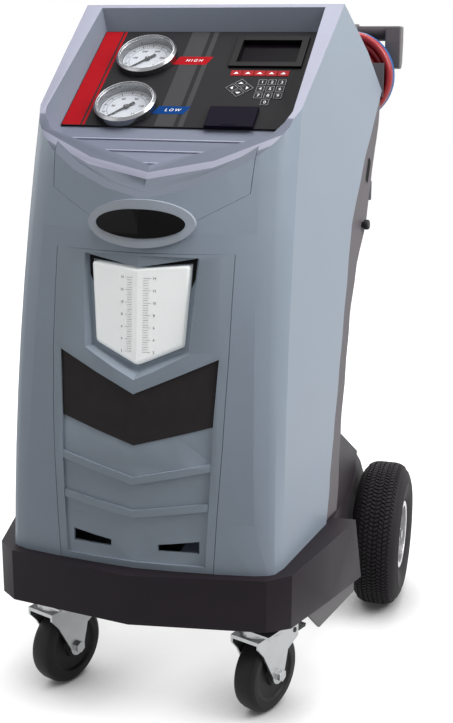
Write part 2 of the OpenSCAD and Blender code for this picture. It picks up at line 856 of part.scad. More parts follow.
module brake(side) {
    color("#2a282b") at_caster(side) translate([0, brake_y, brake_z]) {
        rotate([0, 90, 0]) cylinder(d = 12, h = 2 * leg_gap - 2 * touch, center = true);
        rotate([0, 90, 0]) cylinder(d = brake_pin, h = 2 * (leg_gap + leg_t + 1), center = true);
        across(-16, 16) polygon([[0, 5], [0, -5], [24, -16], [46, -16], [48, -11], [28, -8], [14, 2]]);
    }
}

module left_fork() { fork(-1); }
module right_fork() { fork(1); }
module left_caster_wheel() { caster_wheel(-1); }
module right_caster_wheel() { caster_wheel(1); }
module left_brake() { brake(-1); }
module right_brake() { brake(1); }

// Rear wheels, turned about the axle with +Z of the profile pointing outwards
module at_wheel(side) {
    translate([side * track / 2, axle_y, tyre_d / 2]) rotate([0, 90 * side, 0]) children();
}

module tyre(side) {
    r = tyre_d / 2;
    w = tyre_w / 2;
    bead = rim_d / 2 - 4;
    half = [
        [bead, w - 9], [bead + 5, w - 9], [bead + 14, w - 4], [r - 36, w], [r - 17, w - 0.5],
        [r - 6, w - 5], [r - 1, w - 14], [r, w - 30]
    ];
    color("#232124") at_wheel(side) rotate_extrude() difference() {
        polygon(concat(half, [for (i = [len(half) - 1:-1:0]) [half[i][0], -half[i][1]]]));
        for (g = [-20, 0, 20]) translate([r - 5, g - 2]) square([10, 4]);
    }
}

module rim(side) {
    bead = rim_d / 2 - 4;
    w = tyre_w / 2 - 8;
    bore = axle_d / 2 + run_fit;
    color("#b8b9bb") at_wheel(side) rotate_extrude() {
        translate([bead - 5, -w]) square([5, 2 * w]);
        translate([bead - 5, w - 0.4]) square([9, 3]);
        translate([bead - 5, -w - 2.6]) square([9, 3]);
        translate([18, -6]) square([bead - 20, 5]);
        translate([bore, -w]) square([20 - bore, 2 * w - 14]);
    }
}

module left_tyre() { tyre(-1); }
module right_tyre() { tyre(1); }
module left_rim() { rim(-1); }
module right_rim() { rim(1); }

module rear_axle() {
    hub_end = track / 2 + tyre_w / 2 - 8 - 14;
    collar_in = bay_x - 12 + touch;
    collar_out = track / 2 - (tyre_w / 2 - 8) - touch;
    collar_mid = (collar_in + collar_out) / 2;
    collar_l = collar_out - collar_in;
    color("#a9abad") translate([0, axle_y, tyre_d / 2]) {
        translate([-hub_end - 16, 0, 0]) rotate([0, 90, 0]) cylinder(d = axle_d, h = 2 * hub_end + 32);
        for (s = [-1, 1]) {
            translate([s * (hub_end + 1), 0, 0]) rotate([0, 90, 0])
                cylinder(d = axle_d + 14, h = 1.4, center = true);
            translate([s * (hub_end + 7), 0, 0]) rotate([0, 90, 0])
                cylinder(d = axle_d * 1.7, h = 10, center = true, $fn = 6);
            translate([s * collar_mid, 0, 0]) rotate([0, 90, 0])
                cylinder(d = axle_d + 10, h = collar_l, center = true);
        }
    }
}

// Inner machinery, standing on the chassis floor
inner_z = floor_z + sheet;

module compressor() {
    color("#37383b") translate([-105, -185, inner_z]) {
        difference() {
            union() {
                rotate_extrude() polygon([
                    [0, 0], [86, 0], [86, 6], [78, 12], [78, 150], [66, 186], [36, 204], [0, 208]
                ]);
                translate([60, 0, 120]) rotate([0, 60, 0]) cylinder(d = 14, h = 44);
            }
            rotate_extrude() polygon([
                [0, 10], [68, 10], [68, 146], [58, 177], [32, 194], [0, 198]
            ]);
            translate([60, 0, 120]) rotate([0, 60, 0]) translate([0, 0, -2]) cylinder(d = 9, h = 50);
        }
    }
}

module vacuum_pump() {
    color("#4c5a6b") translate([40, -250, inner_z]) {
        cube([120, 150, 14]);
        translate([60, 6, 74]) rotate([-90, 0, 0]) cylinder(d = 112, h = 138);
        translate([10, 10, 10]) cube([100, 20, 30]);
        translate([10, 110, 10]) cube([100, 20, 30]);
        translate([40, 30, 100]) cube([40, 80, 70]);
    }
}

module valve_manifold() {
    color("#9fa3a8") translate([-80, -66 - 46, 470]) {
        cube([160, 46, 60]);
        for (i = [0:3]) translate([20 + 40 * i, 23, 59]) cylinder(d = 26, h = 40);
    }
}

module tank() {
    color("#9c9ea1") translate([0, tank_y, tank_z]) difference() {
        union() {
            rotate_extrude() polygon([
                [0, 6], [tank_r - 26, 6], [tank_r - 26, 0], [tank_r - 20, 0], [tank_r - 20, 8],
                [tank_r - 4, 24], [tank_r, 44], [tank_r, tank_h - 56], [tank_r - 6, tank_h - 34],
                [tank_r - 24, tank_h - 16], [44, tank_h - 2], [0, tank_h]
            ]);
            difference() {
                translate([0, 0, tank_h - 12]) cylinder(r = 62, h = 62);
                translate([0, 0, tank_h - 30]) cylinder(r = 59, h = 100);
                translate([-100, -26, tank_h + 12]) cube([200, 52, 30]);
            }
            translate([0, 0, tank_h - 6]) cylinder(d = 26, h = 44);
            translate([-44, 0, tank_h + 26]) rotate([0, 90, 0]) cylinder(d = 12, h = 88);
            for (s = [-1, 1]) translate([s * 26, 0, tank_h + 20]) cylinder(d = 22, h = 24);
        }
        rotate_extrude() polygon([
            [0, 10], [tank_r - 24, 10], [tank_r - 8, 27], [tank_r - 4, 46], [tank_r - 4, tank_h - 57],
            [tank_r - 10, tank_h - 37], [tank_r - 27, tank_h - 20], [44, tank_h - 7], [0, tank_h - 5]
        ]);
        translate([0, 0, tank_h - 12]) cylinder(d = 6, h = 38);
        translate([-50, 0, tank_h + 26]) rotate([0, 90, 0]) cylinder(d = 6, h = 100);
    }
}

// Closed outer form of a coil of hose
module coil(y, tint) {
    color(tint) translate([hanger_x, y, hanger_z]) rotate([-90, 0, 0]) rotate_extrude()
        translate([coil_r - coil_high / 2, 0]) square([coil_high, coil_deep]);
}

function unit(v) = v / norm(v);
function tangent(path, i) = unit(path[min(i + 1, len(path) - 1)] - path[max(i - 1, 0)]);

// Round tube swept along a route; aside is a direction that the route never takes
module tube(path, aside, d) {
    n = 10;
    rings = [for (i = [0:len(path) - 1]) let (
        t = tangent(path, i), u = unit(cross(aside, t)), v = cross(t, u)
    ) [for (k = [0:n - 1]) path[i] + d / 2 * (cos(360 * k / n) * u + sin(360 * k / n) * v)]];
    last = len(path) - 1;
    polyhedron(
        points = [for (r = rings, p = r) p],
        faces = concat(
            [for (i = [0:last - 1], j = [0:n - 1], half = [0, 1])
                let (a = i * n + j, b = i * n + (j + 1) % n)
                half == 0 ? [b, a, a + n] : [b, a + n, b + n]],
            [[for (j = [0:n - 1]) j]],
            [[for (j = [n - 1:-1:0]) last * n + j]]
        )
    );
}

module red_hose() {
    color("#b8322f") {
        tube(red_lead, [1, 0, 0], hose_d);
        tube(red_tail, [0, 1, 0], hose_d);
    }
}

module blue_hose() {
    color("#2f5f96") {
        tube(blue_lead, [1, 0, 0], hose_d);
        tube(blue_tail, [0, 1, 0], hose_d);
    }
}

// Service couplers hanging at the hoses' ends, open below to go over a vehicle's ports
module hose_couplers() {
    color("#3a3a3d") {
        coupler(red_tail[len(red_tail) - 1], 16);
        coupler(blue_tail[len(blue_tail) - 1], 13);
    }
}

module coupler(end, bore) {
    translate([end[0], end[1], end[2] - coupler_l - touch]) difference() {
        union() {
            translate([0, 0, 16]) cylinder(d = hose_d + 8, h = coupler_l - 16);
            cylinder(d = coupler_d, h = 34);
            translate([0, -coupler_d / 2 + 4, 20]) rotate([90, 0, 0]) cylinder(d = 20, h = 18);
        }
        translate([0, 0, -1]) cylinder(d = bore, h = 19);
    }
}

// Brings the middle of the machine's length to the origin
module placed() {
    translate([0, -mid_y, 0]) children();
}

placed() base_tray();
placed() chassis();
placed() front_shell();
placed() chin_panel();
placed() bib_panel();
placed() badge();
placed() chevron_plate();
placed() back_cover();
placed() handle_bar();
placed() handle_blocks();
placed() console_plate();
placed() gauge_cases();
placed() gauge_dials();
placed() gauge_lenses();
placed() high_pointer();
placed() low_pointer();
placed() display();
placed() printer_door();
placed() oil_bottle();
placed() caster_plates();
placed() left_fork();
placed() right_fork();
placed() left_caster_wheel();
placed() right_caster_wheel();
placed() left_brake();
placed() right_brake();
placed() left_tyre();
placed() right_tyre();
placed() left_rim();
placed() right_rim();
placed() rear_axle();
placed() compressor();
placed() vacuum_pump();
placed() valve_manifold();
placed() tank();
placed() hose_ports();
placed() red_hose();
placed() coil(red_y, "#b8322f");  // red_coil
placed() blue_hose();
placed() coil(blue_y, "#2f5f96");  // blue_coil
placed() hose_couplers();
for (k = soft_keys) placed() key(k, soft_w, soft_l, 0, "#b3262b");
for (k = arrow_keys) placed() key(k, arrow_w, arrow_w, 45, "#2b2a2d");
for (k = digit_keys) placed() key(k, digit_w, digit_l, 0, "#2b2a2d");
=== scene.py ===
import json
import math
import bmesh
import bpy
from mathutils import Matrix, Vector
from mathutils.bvhtree import BVHTree

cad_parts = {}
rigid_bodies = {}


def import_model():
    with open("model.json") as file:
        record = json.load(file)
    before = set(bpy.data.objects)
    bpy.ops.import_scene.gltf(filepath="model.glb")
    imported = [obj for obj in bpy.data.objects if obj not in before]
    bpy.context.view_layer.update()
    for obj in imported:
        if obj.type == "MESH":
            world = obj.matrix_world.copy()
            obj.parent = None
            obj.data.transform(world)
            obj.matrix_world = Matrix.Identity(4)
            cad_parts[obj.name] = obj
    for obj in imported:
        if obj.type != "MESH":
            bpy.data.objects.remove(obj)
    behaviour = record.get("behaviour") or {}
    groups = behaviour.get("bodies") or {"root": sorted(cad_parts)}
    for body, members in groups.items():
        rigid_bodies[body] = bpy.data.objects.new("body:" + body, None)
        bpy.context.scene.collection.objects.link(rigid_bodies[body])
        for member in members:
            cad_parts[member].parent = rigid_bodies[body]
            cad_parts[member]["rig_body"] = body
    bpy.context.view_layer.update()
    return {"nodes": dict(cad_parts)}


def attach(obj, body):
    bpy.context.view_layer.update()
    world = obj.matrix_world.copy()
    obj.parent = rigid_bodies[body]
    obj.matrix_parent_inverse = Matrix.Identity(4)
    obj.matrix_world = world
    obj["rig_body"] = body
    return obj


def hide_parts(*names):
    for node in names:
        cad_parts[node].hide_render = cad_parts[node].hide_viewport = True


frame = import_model()
nodes = frame["nodes"]
collection = bpy.context.scene.collection
mm = 0.001
datum = Vector((0, -24 * mm, 0))     # the part's y sizes count from a line 24 mm ahead of its middle


# Camera fitted to the photograph
camera = {
    "azimuth": 15.58,
    "elevation": 14.82,
    "roll": 0.2,
    "distance": 1.99414,
    "target": Vector((0.05066, -0.0255, 0.49432)),
    "focalPixels": 1209.33,
    "imageHeight": 723,
    "sensor": 36.0,
}


def makeCamera(c):
    a = math.radians(c["azimuth"])
    e = math.radians(c["elevation"])
    r = math.radians(c["roll"])
    back = Vector((math.sin(a) * math.cos(e), -math.cos(a) * math.cos(e), math.sin(e)))
    right = Vector((math.cos(a), math.sin(a), 0))
    up = back.cross(right)
    side = math.cos(r) * right + math.sin(r) * up
    top = math.cos(r) * up - math.sin(r) * right
    data = bpy.data.cameras.new("photoCamera")
    data.sensor_fit = "VERTICAL"
    data.sensor_height = c["sensor"]
    data.lens = c["focalPixels"] / c["imageHeight"] * c["sensor"]
    data.clip_end = 60
    obj = bpy.data.objects.new("photoCamera", data)
    collection.objects.link(obj)
    turn = Matrix((side, top, back)).transposed().to_4x4()
    obj.matrix_world = Matrix.Translation(c["target"] + back * c["distance"]) @ turn
    bpy.context.scene.camera = obj


makeCamera(camera)
print("camera set")


# Finishes
def tone(r, g, b):
    def linear(v):
        v = v / 255
        return v / 12.92 if v <= 0.04045 else ((v + 0.055) / 1.055) ** 2.4
    return (linear(r), linear(g), linear(b), 1)


# Values of a finish: roughness, grain size in mm and depth, mottle strength and size in mm, shine, metal
def mix(colour, **values):
    return dict(values, colour=tone(*colour))


finishes = {
    "shellGrey": mix((138, 149, 162), rough=0.42, grain=0.9, depth=0.05, mottle=0.03, patch=120, shine=0.3),
    # painted highlight: the shell grey made lighter for its up-facing rim, lip band and rib tops
    "rimPaintedHighlight": mix((148, 150, 168), rough=0.38, grain=0.9, depth=0.05, mottle=0.03, patch=90, shine=0.4),
    # painted shade: the shell grey made darker for the tray floor, the recess walls next to it and the lip
    # beyond its light band
    "trayPaintedShade": mix((112, 117, 133), rough=0.5, grain=0.9, depth=0.06, mottle=0.03, patch=60, shine=0.2),
    # painted shade: the shell grey made darker for the inward-facing walls of the console recess
    "recessPaintedShade": mix((112, 119, 132), rough=0.5, grain=0.9, depth=0.05, mottle=0.03, patch=60, shine=0.2),
    # painted shade: the shell grey made darker for the up-facing lower lip and chin top, so they render as
    # dark as the front
    "lipPaintedShade": mix((112, 119, 131), rough=0.5, grain=0.9, depth=0.05, mottle=0.03, patch=90, shine=0.2),
    "bibGrey": mix((137, 148, 160), rough=0.44, grain=0.9, depth=0.06, mottle=0.03, patch=90, shine=0.3),
    "badgeGrey": mix((152, 159, 170), rough=0.3, grain=0.8, depth=0.03, mottle=0.04, patch=40, shine=0.4),
    "badgeBlack": mix((10, 9, 10), rough=0.24, grain=0.6, depth=0.02, mottle=0.2, patch=30, shine=0.07),
    "chevronBlack": mix((42, 39, 40), rough=0.6, grain=0.5, depth=0.14, mottle=0.12, patch=20, shine=0.12),
    "baseBlack": mix((36, 31, 36), rough=0.5, grain=1.1, depth=0.16, mottle=0.1, patch=60, shine=0.12),
    "chassisGrey": mix((92, 90, 92), rough=0.5, grain=0.8, depth=0.05, mottle=0.08, patch=50, shine=0.25),
    "coverGrey": mix((96, 92, 96), rough=0.52, grain=1.2, depth=0.16, mottle=0.06, patch=80, shine=0.2),
    "handleBlack": mix((58, 52, 56), rough=0.55, grain=0.9, depth=0.2, mottle=0.08, patch=30, shine=0.2),
    "handleGrey": mix((98, 95, 98), rough=0.5, grain=0.9, depth=0.1, mottle=0.05, patch=30, shine=0.25),
    "consoleBlack": mix((33, 32, 34), rough=0.5, grain=0.5, depth=0.06, mottle=0.05, patch=40, shine=0.06),
    "gaugeChrome": mix((142, 143, 146), rough=0.24, grain=0.5, depth=0.02, mottle=0.04, patch=25, metal=1.0),
    "dialWhite": mix((186, 190, 197), rough=0.5, grain=0.4, depth=0.01, mottle=0.015, patch=20),
    "inkBlack": mix((20, 20, 22), rough=0.6, grain=0.4, depth=0.02, mottle=0.1, patch=10, shine=0.2),
    "inkWhite": mix((232, 232, 234), rough=0.55, grain=0.4, depth=0.02, mottle=0.03, patch=10),
    "inkRed": mix((160, 16, 26), rough=0.5, grain=0.4, depth=0.03, mottle=0.05, patch=12, shine=0.03),
    "inkBlue": mix((4, 56, 116), rough=0.5, grain=0.4, depth=0.03, mottle=0.05, patch=12, shine=0.03),
    "inkGrey": mix((56, 55, 57), rough=0.5, grain=0.4, depth=0.03, mottle=0.05, patch=15, shine=0.08),
    "markGrey": mix((112, 120, 116), rough=0.6, grain=0.4, depth=0.02, mottle=0.1, patch=10, shine=0.2),
    "keyLine": mix((158, 158, 160), rough=0.55, grain=0.4, depth=0.02, mottle=0.05, patch=10, shine=0.2),
    "pointerBlack": mix((22, 22, 24), rough=0.4, grain=0.4, depth=0.02, mottle=0.1, patch=8, shine=0.25),
    "displayBlack": mix((14, 13, 14), rough=0.35, grain=0.5, depth=0.04, mottle=0.08, patch=20, shine=0.08),
    "windowDark": mix((14, 11, 15), rough=0.14, grain=0.5, depth=0.0, mottle=0.12, patch=60, shine=0.03),
    "doorBlack": mix((22, 19, 30), rough=0.5, grain=0.6, depth=0.06, mottle=0.06, patch=25, shine=0.02),
    "keyBlack": mix((34, 33, 35), rough=0.55, grain=0.4, depth=0.08, mottle=0.05, patch=8, shine=0.08),
    "keyRed": mix((150, 14, 22), rough=0.5, grain=0.4, depth=0.06, mottle=0.05, patch=8, shine=0.12),
    "casterBlack": mix((22, 20, 21), rough=0.5, grain=0.8, depth=0.12, mottle=0.18, patch=18, shine=0.2),
    "pedalBlack": mix((26, 25, 27), rough=0.45, grain=0.7, depth=0.08, mottle=0.15, patch=15, shine=0.25),
    "tyreBlack": mix((34, 31, 34), rough=0.74, grain=0.9, depth=0.2, mottle=0.16, patch=35, shine=0.22),
    "rimSteel": mix((196, 195, 197), rough=0.32, grain=0.8, depth=0.04, mottle=0.08, patch=30, metal=0.85),
    "zinc": mix((172, 174, 175), rough=0.3, grain=0.7, depth=0.02, mottle=0.05, patch=25, metal=0.9),
    "steel": mix((170, 171, 173), rough=0.3, grain=0.5, depth=0.05, mottle=0.12, patch=8, metal=1.0),
    "brass": mix((190, 152, 84), rough=0.3, grain=0.5, depth=0.04, mottle=0.12, patch=8, metal=1.0),
    "couplerDark": mix((74, 74, 78), rough=0.36, grain=0.5, depth=0.05, mottle=0.1, patch=10, metal=0.7),
    "reliefBlack": mix((34, 33, 35), rough=0.6, grain=0.6, depth=0.1, mottle=0.1, patch=10, shine=0.25),
    # painted shade: black for the gap at the bottle's top and the cover's oval hole, where there is only
    # shade
    "holeShadeBlack": mix((14, 13, 14), rough=0.7, grain=0.6, depth=0.04, mottle=0.2, patch=12, shine=0.1),
    "compressorBlack": mix((40, 40, 43), rough=0.3, grain=0.8, depth=0.05, mottle=0.12, patch=40),
    "pumpBlue": mix((78, 92, 112), rough=0.4, grain=0.8, depth=0.08, mottle=0.1, patch=35),
    "aluminium": mix((186, 188, 190), rough=0.34, grain=0.5, depth=0.05, mottle=0.08, patch=12, metal=1.0),
    "tankGrey": mix((160, 162, 166), rough=0.36, grain=0.9, depth=0.06, mottle=0.07, patch=70),
    "hoseRed": mix((150, 20, 28), rough=0.36, grain=0.6, depth=0.08, mottle=0.08, patch=25),
    "hoseBlue": mix((24, 80, 138), rough=0.36, grain=0.6, depth=0.08, mottle=0.08, patch=25),
}
surface = {
    "patchDetail": 4,
    "ramp": (0.3, 0.7),
    "smoother": 0.05,       # how far the mottle takes the roughness down and up
    "rougher": 0.07,
    "grainDetail": 2,
    "grainHeight": 0.3,     # mm
}


def setSockets(node, values):
    for name, value in values.items():
        node.inputs[name].default_value = value


def newMaterial(name):
    mat = bpy.data.materials.new(name)
    mat.use_nodes = True
    return mat, mat.node_tree.nodes["Principled BSDF"]


def makeFinish(name, f):
    mat, shader = newMaterial(name)
    make = mat.node_tree.nodes.new
    link = mat.node_tree.links.new
    coords = make("ShaderNodeTexCoord")
    patch = make("ShaderNodeTexNoise")
    setSockets(patch, {"Scale": 1 / (f["patch"] * mm), "Detail": surface["patchDetail"]})
    link(coords.outputs["Object"], patch.inputs["Vector"])
    ramp = make("ShaderNodeValToRGB")
    for stop, place, change in zip(ramp.color_ramp.elements, surface["ramp"], (-f["mottle"], f["mottle"])):
        stop.position = place
        stop.color = [c * (1 + change) for c in f["colour"][:3]] + [1]
    link(patch.outputs["Fac"], ramp.inputs["Fac"])
    link(ramp.outputs["Color"], shader.inputs["Base Color"])
    spread = make("ShaderNodeMapRange")
    rough = f["rough"]
    setSockets(spread, {"To Min": rough - surface["smoother"], "To Max": rough + surface["rougher"]})
    link(patch.outputs["Fac"], spread.inputs["Value"])
    link(spread.outputs["Result"], shader.inputs["Roughness"])
    grain = make("ShaderNodeTexNoise")
    setSockets(grain, {"Scale": 1 / (f["grain"] * mm), "Detail": surface["grainDetail"]})
    link(coords.outputs["Object"], grain.inputs["Vector"])
    bump = make("ShaderNodeBump")
    setSockets(bump, {"Strength": f["depth"], "Distance": surface["grainHeight"] * mm})
    link(grain.outputs["Fac"], bump.inputs["Height"])
    link(bump.outputs["Normal"], shader.inputs["Normal"])
    setSockets(shader, {"Metallic": f.get("metal", 0), "Specular IOR Level": f.get("shine", 0.5)})
    return mat


mats = {name: makeFinish(name, f) for name, f in finishes.items()}
lens = {"Base Color": tone(240, 244, 248), "Roughness": 0.05, "Alpha": 0.03}
bottleLookAndGlow = {
    "finish": mix((244, 247, 246), rough=0.3, grain=0.7, depth=0.03, mottle=0.04, patch=45),
    "sockets": {
        "Subsurface Weight": 0.25,
        "Subsurface Radius": (0.01, 0.01, 0.01),
        "Coat Weight": 0.15,
        "Emission Color": tone(236, 240, 240),
        # painted light: the bottle glows to render lighter, though it is no lamp
        "Emission Strength": 0.26,
    },
}


def clearLens():
    mat, shader = newMaterial("lensClear")
    setSockets(shader, lens)
    return mat


# Cloudy white bottle with some subsurface, and an emission that paints light on it
def cloudyBottle():
    mat = makeFinish("bottleCloudyGlowing", bottleLookAndGlow["finish"])
    setSockets(mat.node_tree.nodes["Principled BSDF"], bottleLookAndGlow["sockets"])
    return mat


mats["lensClear"] = clearLens()
mats["bottleCloudyGlowing"] = cloudyBottle()
print("finishes made:", len(mats))


def finishPiece(name, mesh, matrix, finish, body, smooth=False, sharp=35):
    mesh.transform(matrix)
    mesh.materials.clear()
    mesh.materials.append(mats[finish])
    mesh.polygons.foreach_set("use_smooth", [smooth] * len(mesh.polygons))
    mesh.polygons.foreach_set("material_index", [0] * len(mesh.polygons))
    if smooth:
        mesh.set_sharp_from_angle(angle=math.radians(sharp))
    obj = bpy.data.objects.new(name, mesh)
    collection.objects.link(obj)
    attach(obj, body)
    return obj


def closedMesh(name, work):
    bmesh.ops.recalc_face_normals(work, faces=work.faces)
    mesh = bpy.data.meshes.new(name)
    work.to_mesh(mesh)
    work.free()
    return mesh


# Turned shape: a profile of radius and height in mm, spun about z
def turnedMesh(profile, segments, closed=False):
    work = bmesh.new()
    rings = []
    for r, h in profile:
        if r == 0:
            rings.append([work.verts.new((0, 0, h * mm))])
            continue
        turns = [2 * math.pi * i / segments for i in range(segments)]
        rings.append([work.verts.new((r * mm * math.cos(a), r * mm * math.sin(a), h * mm)) for a in turns])
    following = rings[1:] + rings[:1] if closed else rings[1:]
    for low, high in zip(rings, following):
        for i in range(segments):
            j = (i + 1) % segments
            corners = [low[i % len(low)], low[j % len(low)], high[j % len(high)], high[i % len(high)]]
            work.faces.new(list(dict.fromkeys(corners)))
    return closedMesh("turned", work)


def placed(p):
    return Vector(p) * mm + datum


def turnAbout(axis, degrees):
    return Matrix.Rotation(math.radians(degrees), 4, axis)


def polar(r, degrees):
    a = math.radians(degrees)
    return (r * math.cos(a), r * math.sin(a))


edges = {
    "sharp": 32,            # degrees between two faces at which their edge is rounded
    "flat": 0.4,            # degrees under which two faces are made one
    "segments": 2,
    "merge": 0.002,         # mm
}


# Edges of the moulded and machined pieces: a copy of each solid with its edges rounded
def soften(node, width, finish, shape=None, extra=()):
    mesh = nodes[node].data.copy()
    mesh.name = node + "Look"
    work = bmesh.new()
    work.from_mesh(mesh)
    bmesh.ops.remove_doubles(work, verts=work.verts, dist=edges["merge"] * mm)
    for face in work.faces:
        face.smooth = True
        face.material_index = 0
    if shape:
        shape(work)
    bmesh.ops.dissolve_limit(work, angle_limit=math.radians(edges["flat"]), verts=work.verts,
                             edges=work.edges, delimit={"MATERIAL"})
    mesh.materials.clear()
    for name in (finish, *extra):
        mesh.materials.append(mats[name])
    work.to_mesh(mesh)
    work.free()
    obj = bpy.data.objects.new(node + "Look", mesh)
    collection.objects.link(obj)
    mesh.set_sharp_from_angle(angle=math.radians(edges["sharp"]))
    if width > 0:
        bevel = obj.modifiers.new("edges", "BEVEL")
        bevel.width = width * mm
        bevel.segments = edges["segments"]
        bevel.limit_method = "ANGLE"
        bevel.angle_limit = math.radians(edges["sharp"])
        bevel.use_clamp_overlap = True
        bevel.harden_normals = True
    depsgraph = bpy.context.evaluated_depsgraph_get()
    plain = bpy.data.meshes.new_from_object(obj.evaluated_get(depsgraph))
    obj.modifiers.clear()
    obj.data = plain
    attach(obj, nodes[node]["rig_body"])
    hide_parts(node)
    return obj


# Service hoses: each a lead, a coil of turns and a tail on one line, in mm from the datum
coil = {
    "centreX": 182,
    "centreZ": 944,
    "outer": 73,
    "hose": 12,
    "step": 20,
    "lag": 3,         # degrees past the end's own angle at which the line first moves in
    "ramp": 130,      # degrees in which the line moves in or out by a layer
    "cross": 190,     # degrees in which it passes to the second column
    "rest": 15,       # degrees between the first move in and that crossing
}
hoses = {
    "redHose": {
        "lead": [
            (109, 220.8, 728.6), (109, 234, 721), (109, 243, 716), (109, 252, 714), (109, 272, 714),
            (109, 290, 721), (109, 304, 733), (109, 314, 749), (109, 317, 768), (109, 317, 800),
            (109, 317, 835), (109, 317, 870), (109, 317, 908)],
        "tail": [
            (226, 329, 882.5), (220.5, 329, 873), (217, 329, 862), (216, 329, 850), (216, 329, 830),
            (216, 329, 810), (216, 329, 790)],
        "column": 317,
        "end": 3 * 360 + 225,
        "finish": "hoseRed",
        "solids": ("red_hose", "red_coil"),
        "length": 1.86,
    },
    "blueHose": {
        "lead": [
            (73, 240.8, 762.6), (73, 258, 752.5), (73, 267, 748), (73, 276, 745.5), (73, 296, 745.5),
            (74, 313.5, 752), (77, 328, 764.5), (82, 337.5, 781), (88, 341, 803), (95, 341, 830),
            (102, 341, 858), (107, 341, 884), (109, 341, 908)],
        "tail": [
            (184, 353, 869), (174, 353, 864.5), (165, 353, 858.5), (157.5, 353, 850.5), (151.5, 353, 841.5),
            (147, 353, 832), (144, 353, 821), (143, 353, 810), (143, 353, 788), (143, 353, 765)],
        "column": 341,
        "end": 3 * 360 + 260,
        "finish": "hoseBlue",
        "solids": ("blue_hose", "blue_coil"),
        "length": 1.9,
    },
}
relief = {
    "port": [(0, 0), (9.5, 0), (9.5, 5), (8.2, 6), (8.8, 9), (7.6, 10), (8.2, 13), (7.1, 14), (7.6, 17),
             (6.7, 18), (7, 22), (6.2, 24), (0, 24)],
    "coupler": [(0, 0), (8.6, 0), (8.6, 4), (7.6, 5), (8, 8), (7.1, 9), (7.5, 12), (6.7, 13), (7, 17),
                (6.2, 19), (0, 19)],
}


def eased(x, start, width):
    t = min(max((x - start) / width, 0), 1)
    return t * t * (3 - 2 * t)


# The line winds in to the smallest turn, crosses to the second column and winds out again
def coilPoint(turned, h):
    first = h["end"] % 360 + coil["lag"]
    ramp = coil["ramp"]
    layer = (2 * eased(turned, first, ramp) - eased(turned, first + 360, ramp)
             - eased(turned, first + 720, ramp))
    radius = coil["outer"] - coil["hose"] * layer
    y = h["column"] + coil["hose"] * eased(turned, first + ramp + coil["rest"], coil["cross"])
    angle = math.radians(180 - turned)
    return (coil["centreX"] + radius * math.cos(angle), y, coil["centreZ"] + radius * math.sin(angle))


def lineLength(points):
    return sum((b - a).length for a, b in zip(points, points[1:]))


def makeRelief(name, start, towards):
    facing = (towards - start).to_track_quat("Z", "Y").to_matrix().to_4x4()
    profile = relief["port" if name.endswith("Port") else "coupler"]
    spot = Matrix.Translation(start) @ facing
    return finishPiece(name, turnedMesh(profile, segments=28), spot, "reliefBlack", "body", smooth=True)


def makeHose(name, h):
    turns = [coilPoint(a, h) for a in range(0, h["end"], coil["step"])]
    turns.append(coilPoint(h["end"], h))
    points = [placed(p) for p in h["lead"] + turns + h["tail"]]
    data = bpy.data.curves.new(name, "CURVE")
    data.dimensions = "3D"
    data.resolution_u = 6
    data.bevel_depth = coil["hose"] / 2 * mm
    data.bevel_resolution = 5
    data.use_fill_caps = True
    spline = data.splines.new("BEZIER")
    spline.bezier_points.add(len(points) - 1)
    for b, p in zip(spline.bezier_points, points):
        b.co = p
        b.handle_left_type = "AUTO"
        b.handle_right_type = "AUTO"
    data.materials.append(mats[h["finish"]])
    obj = bpy.data.objects.new(name, data)
    collection.objects.link(obj)
    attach(obj, "body")
    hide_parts(*h["solids"])
    reliefs = [makeRelief(name + "Port", points[0], points[1]),
               makeRelief(name + "Coupler", points[-1], points[-2])]
    print(name, "measures", round(lineLength(points), 3))


# Couplers on the hoses' ends: dark bodies with a red and a blue knob
coupler = {"edge": 0.6, "knobReach": 30, "knobFrom": 14.2}


def makeCouplers():
    obj = soften("hose_couplers", coupler["edge"], "couplerDark")
    for hose in hoses.values():
        obj.data.materials.append(mats[hose["finish"]])
    for face in obj.data.polygons:
        for slot, hose in enumerate(hoses.values(), 1):
            end = placed(hose["tail"][-1])
            near = abs(face.center.x - end.x) < coupler["knobReach"] * mm
            if near and face.center.y < end.y - coupler["knobFrom"] * mm:
                face.material_index = slot
    return obj


hoseCouplers = makeCouplers()
for hoseName, hose in hoses.items():
    makeHose(hoseName, hose)


# Edge radius in mm and finish of each solid
looks = {
    "base_tray": (2.5, "baseBlack"),
    "chassis": (0.8, "chassisGrey"),
    "front_shell": (1.6, "shellGrey"),
    "chin_panel": (0, "shellGrey"),
    "bib_panel": (0.9, "bibGrey"),
    "badge": (1.0, "badgeGrey"),
    "chevron_plate": (0.4, "chevronBlack"),
    "back_cover": (1.2, "coverGrey"),
    "handle_bar": (1.5, "handleBlack"),
    "handle_blocks": (3.0, "handleGrey"),
    "console_plate": (0.3, "consoleBlack"),
    "gauge_cases": (0.8, "gaugeChrome"),
    "gauge_dials": (0, "dialWhite"),
    "high_pointer": (0.1, "pointerBlack"),
    "low_pointer": (0.1, "pointerBlack"),
    "display": (0.7, "displayBlack"),
    "printer_door": (1.0, "doorBlack"),
    "oil_bottle": (5.0, "bottleCloudyGlowing"),
    "caster_plates": (0.8, "zinc"),
    "left_fork": (0.9, "zinc"),
    "right_fork": (0.9, "zinc"),
    "left_caster_wheel": (1.0, "casterBlack"),
    "right_caster_wheel": (1.0, "casterBlack"),
    "left_brake": (1.0, "pedalBlack"),
    "right_brake": (1.0, "pedalBlack"),
    "left_rim": (1.0, "rimSteel"),
    "right_rim": (1.0, "rimSteel"),
    "rear_axle": (0.6, "steel"),
    "compressor": (1.0, "compressorBlack"),
    "vacuum_pump": (1.5, "pumpBlue"),
    "valve_manifold": (1.0, "aluminium"),
    "tank": (1.0, "tankGrey"),
    "hose_ports": (0.6, "brass"),
}
for key in range(1, 6):
    looks[f"soft_key_{key}"] = (0.4, "keyRed")
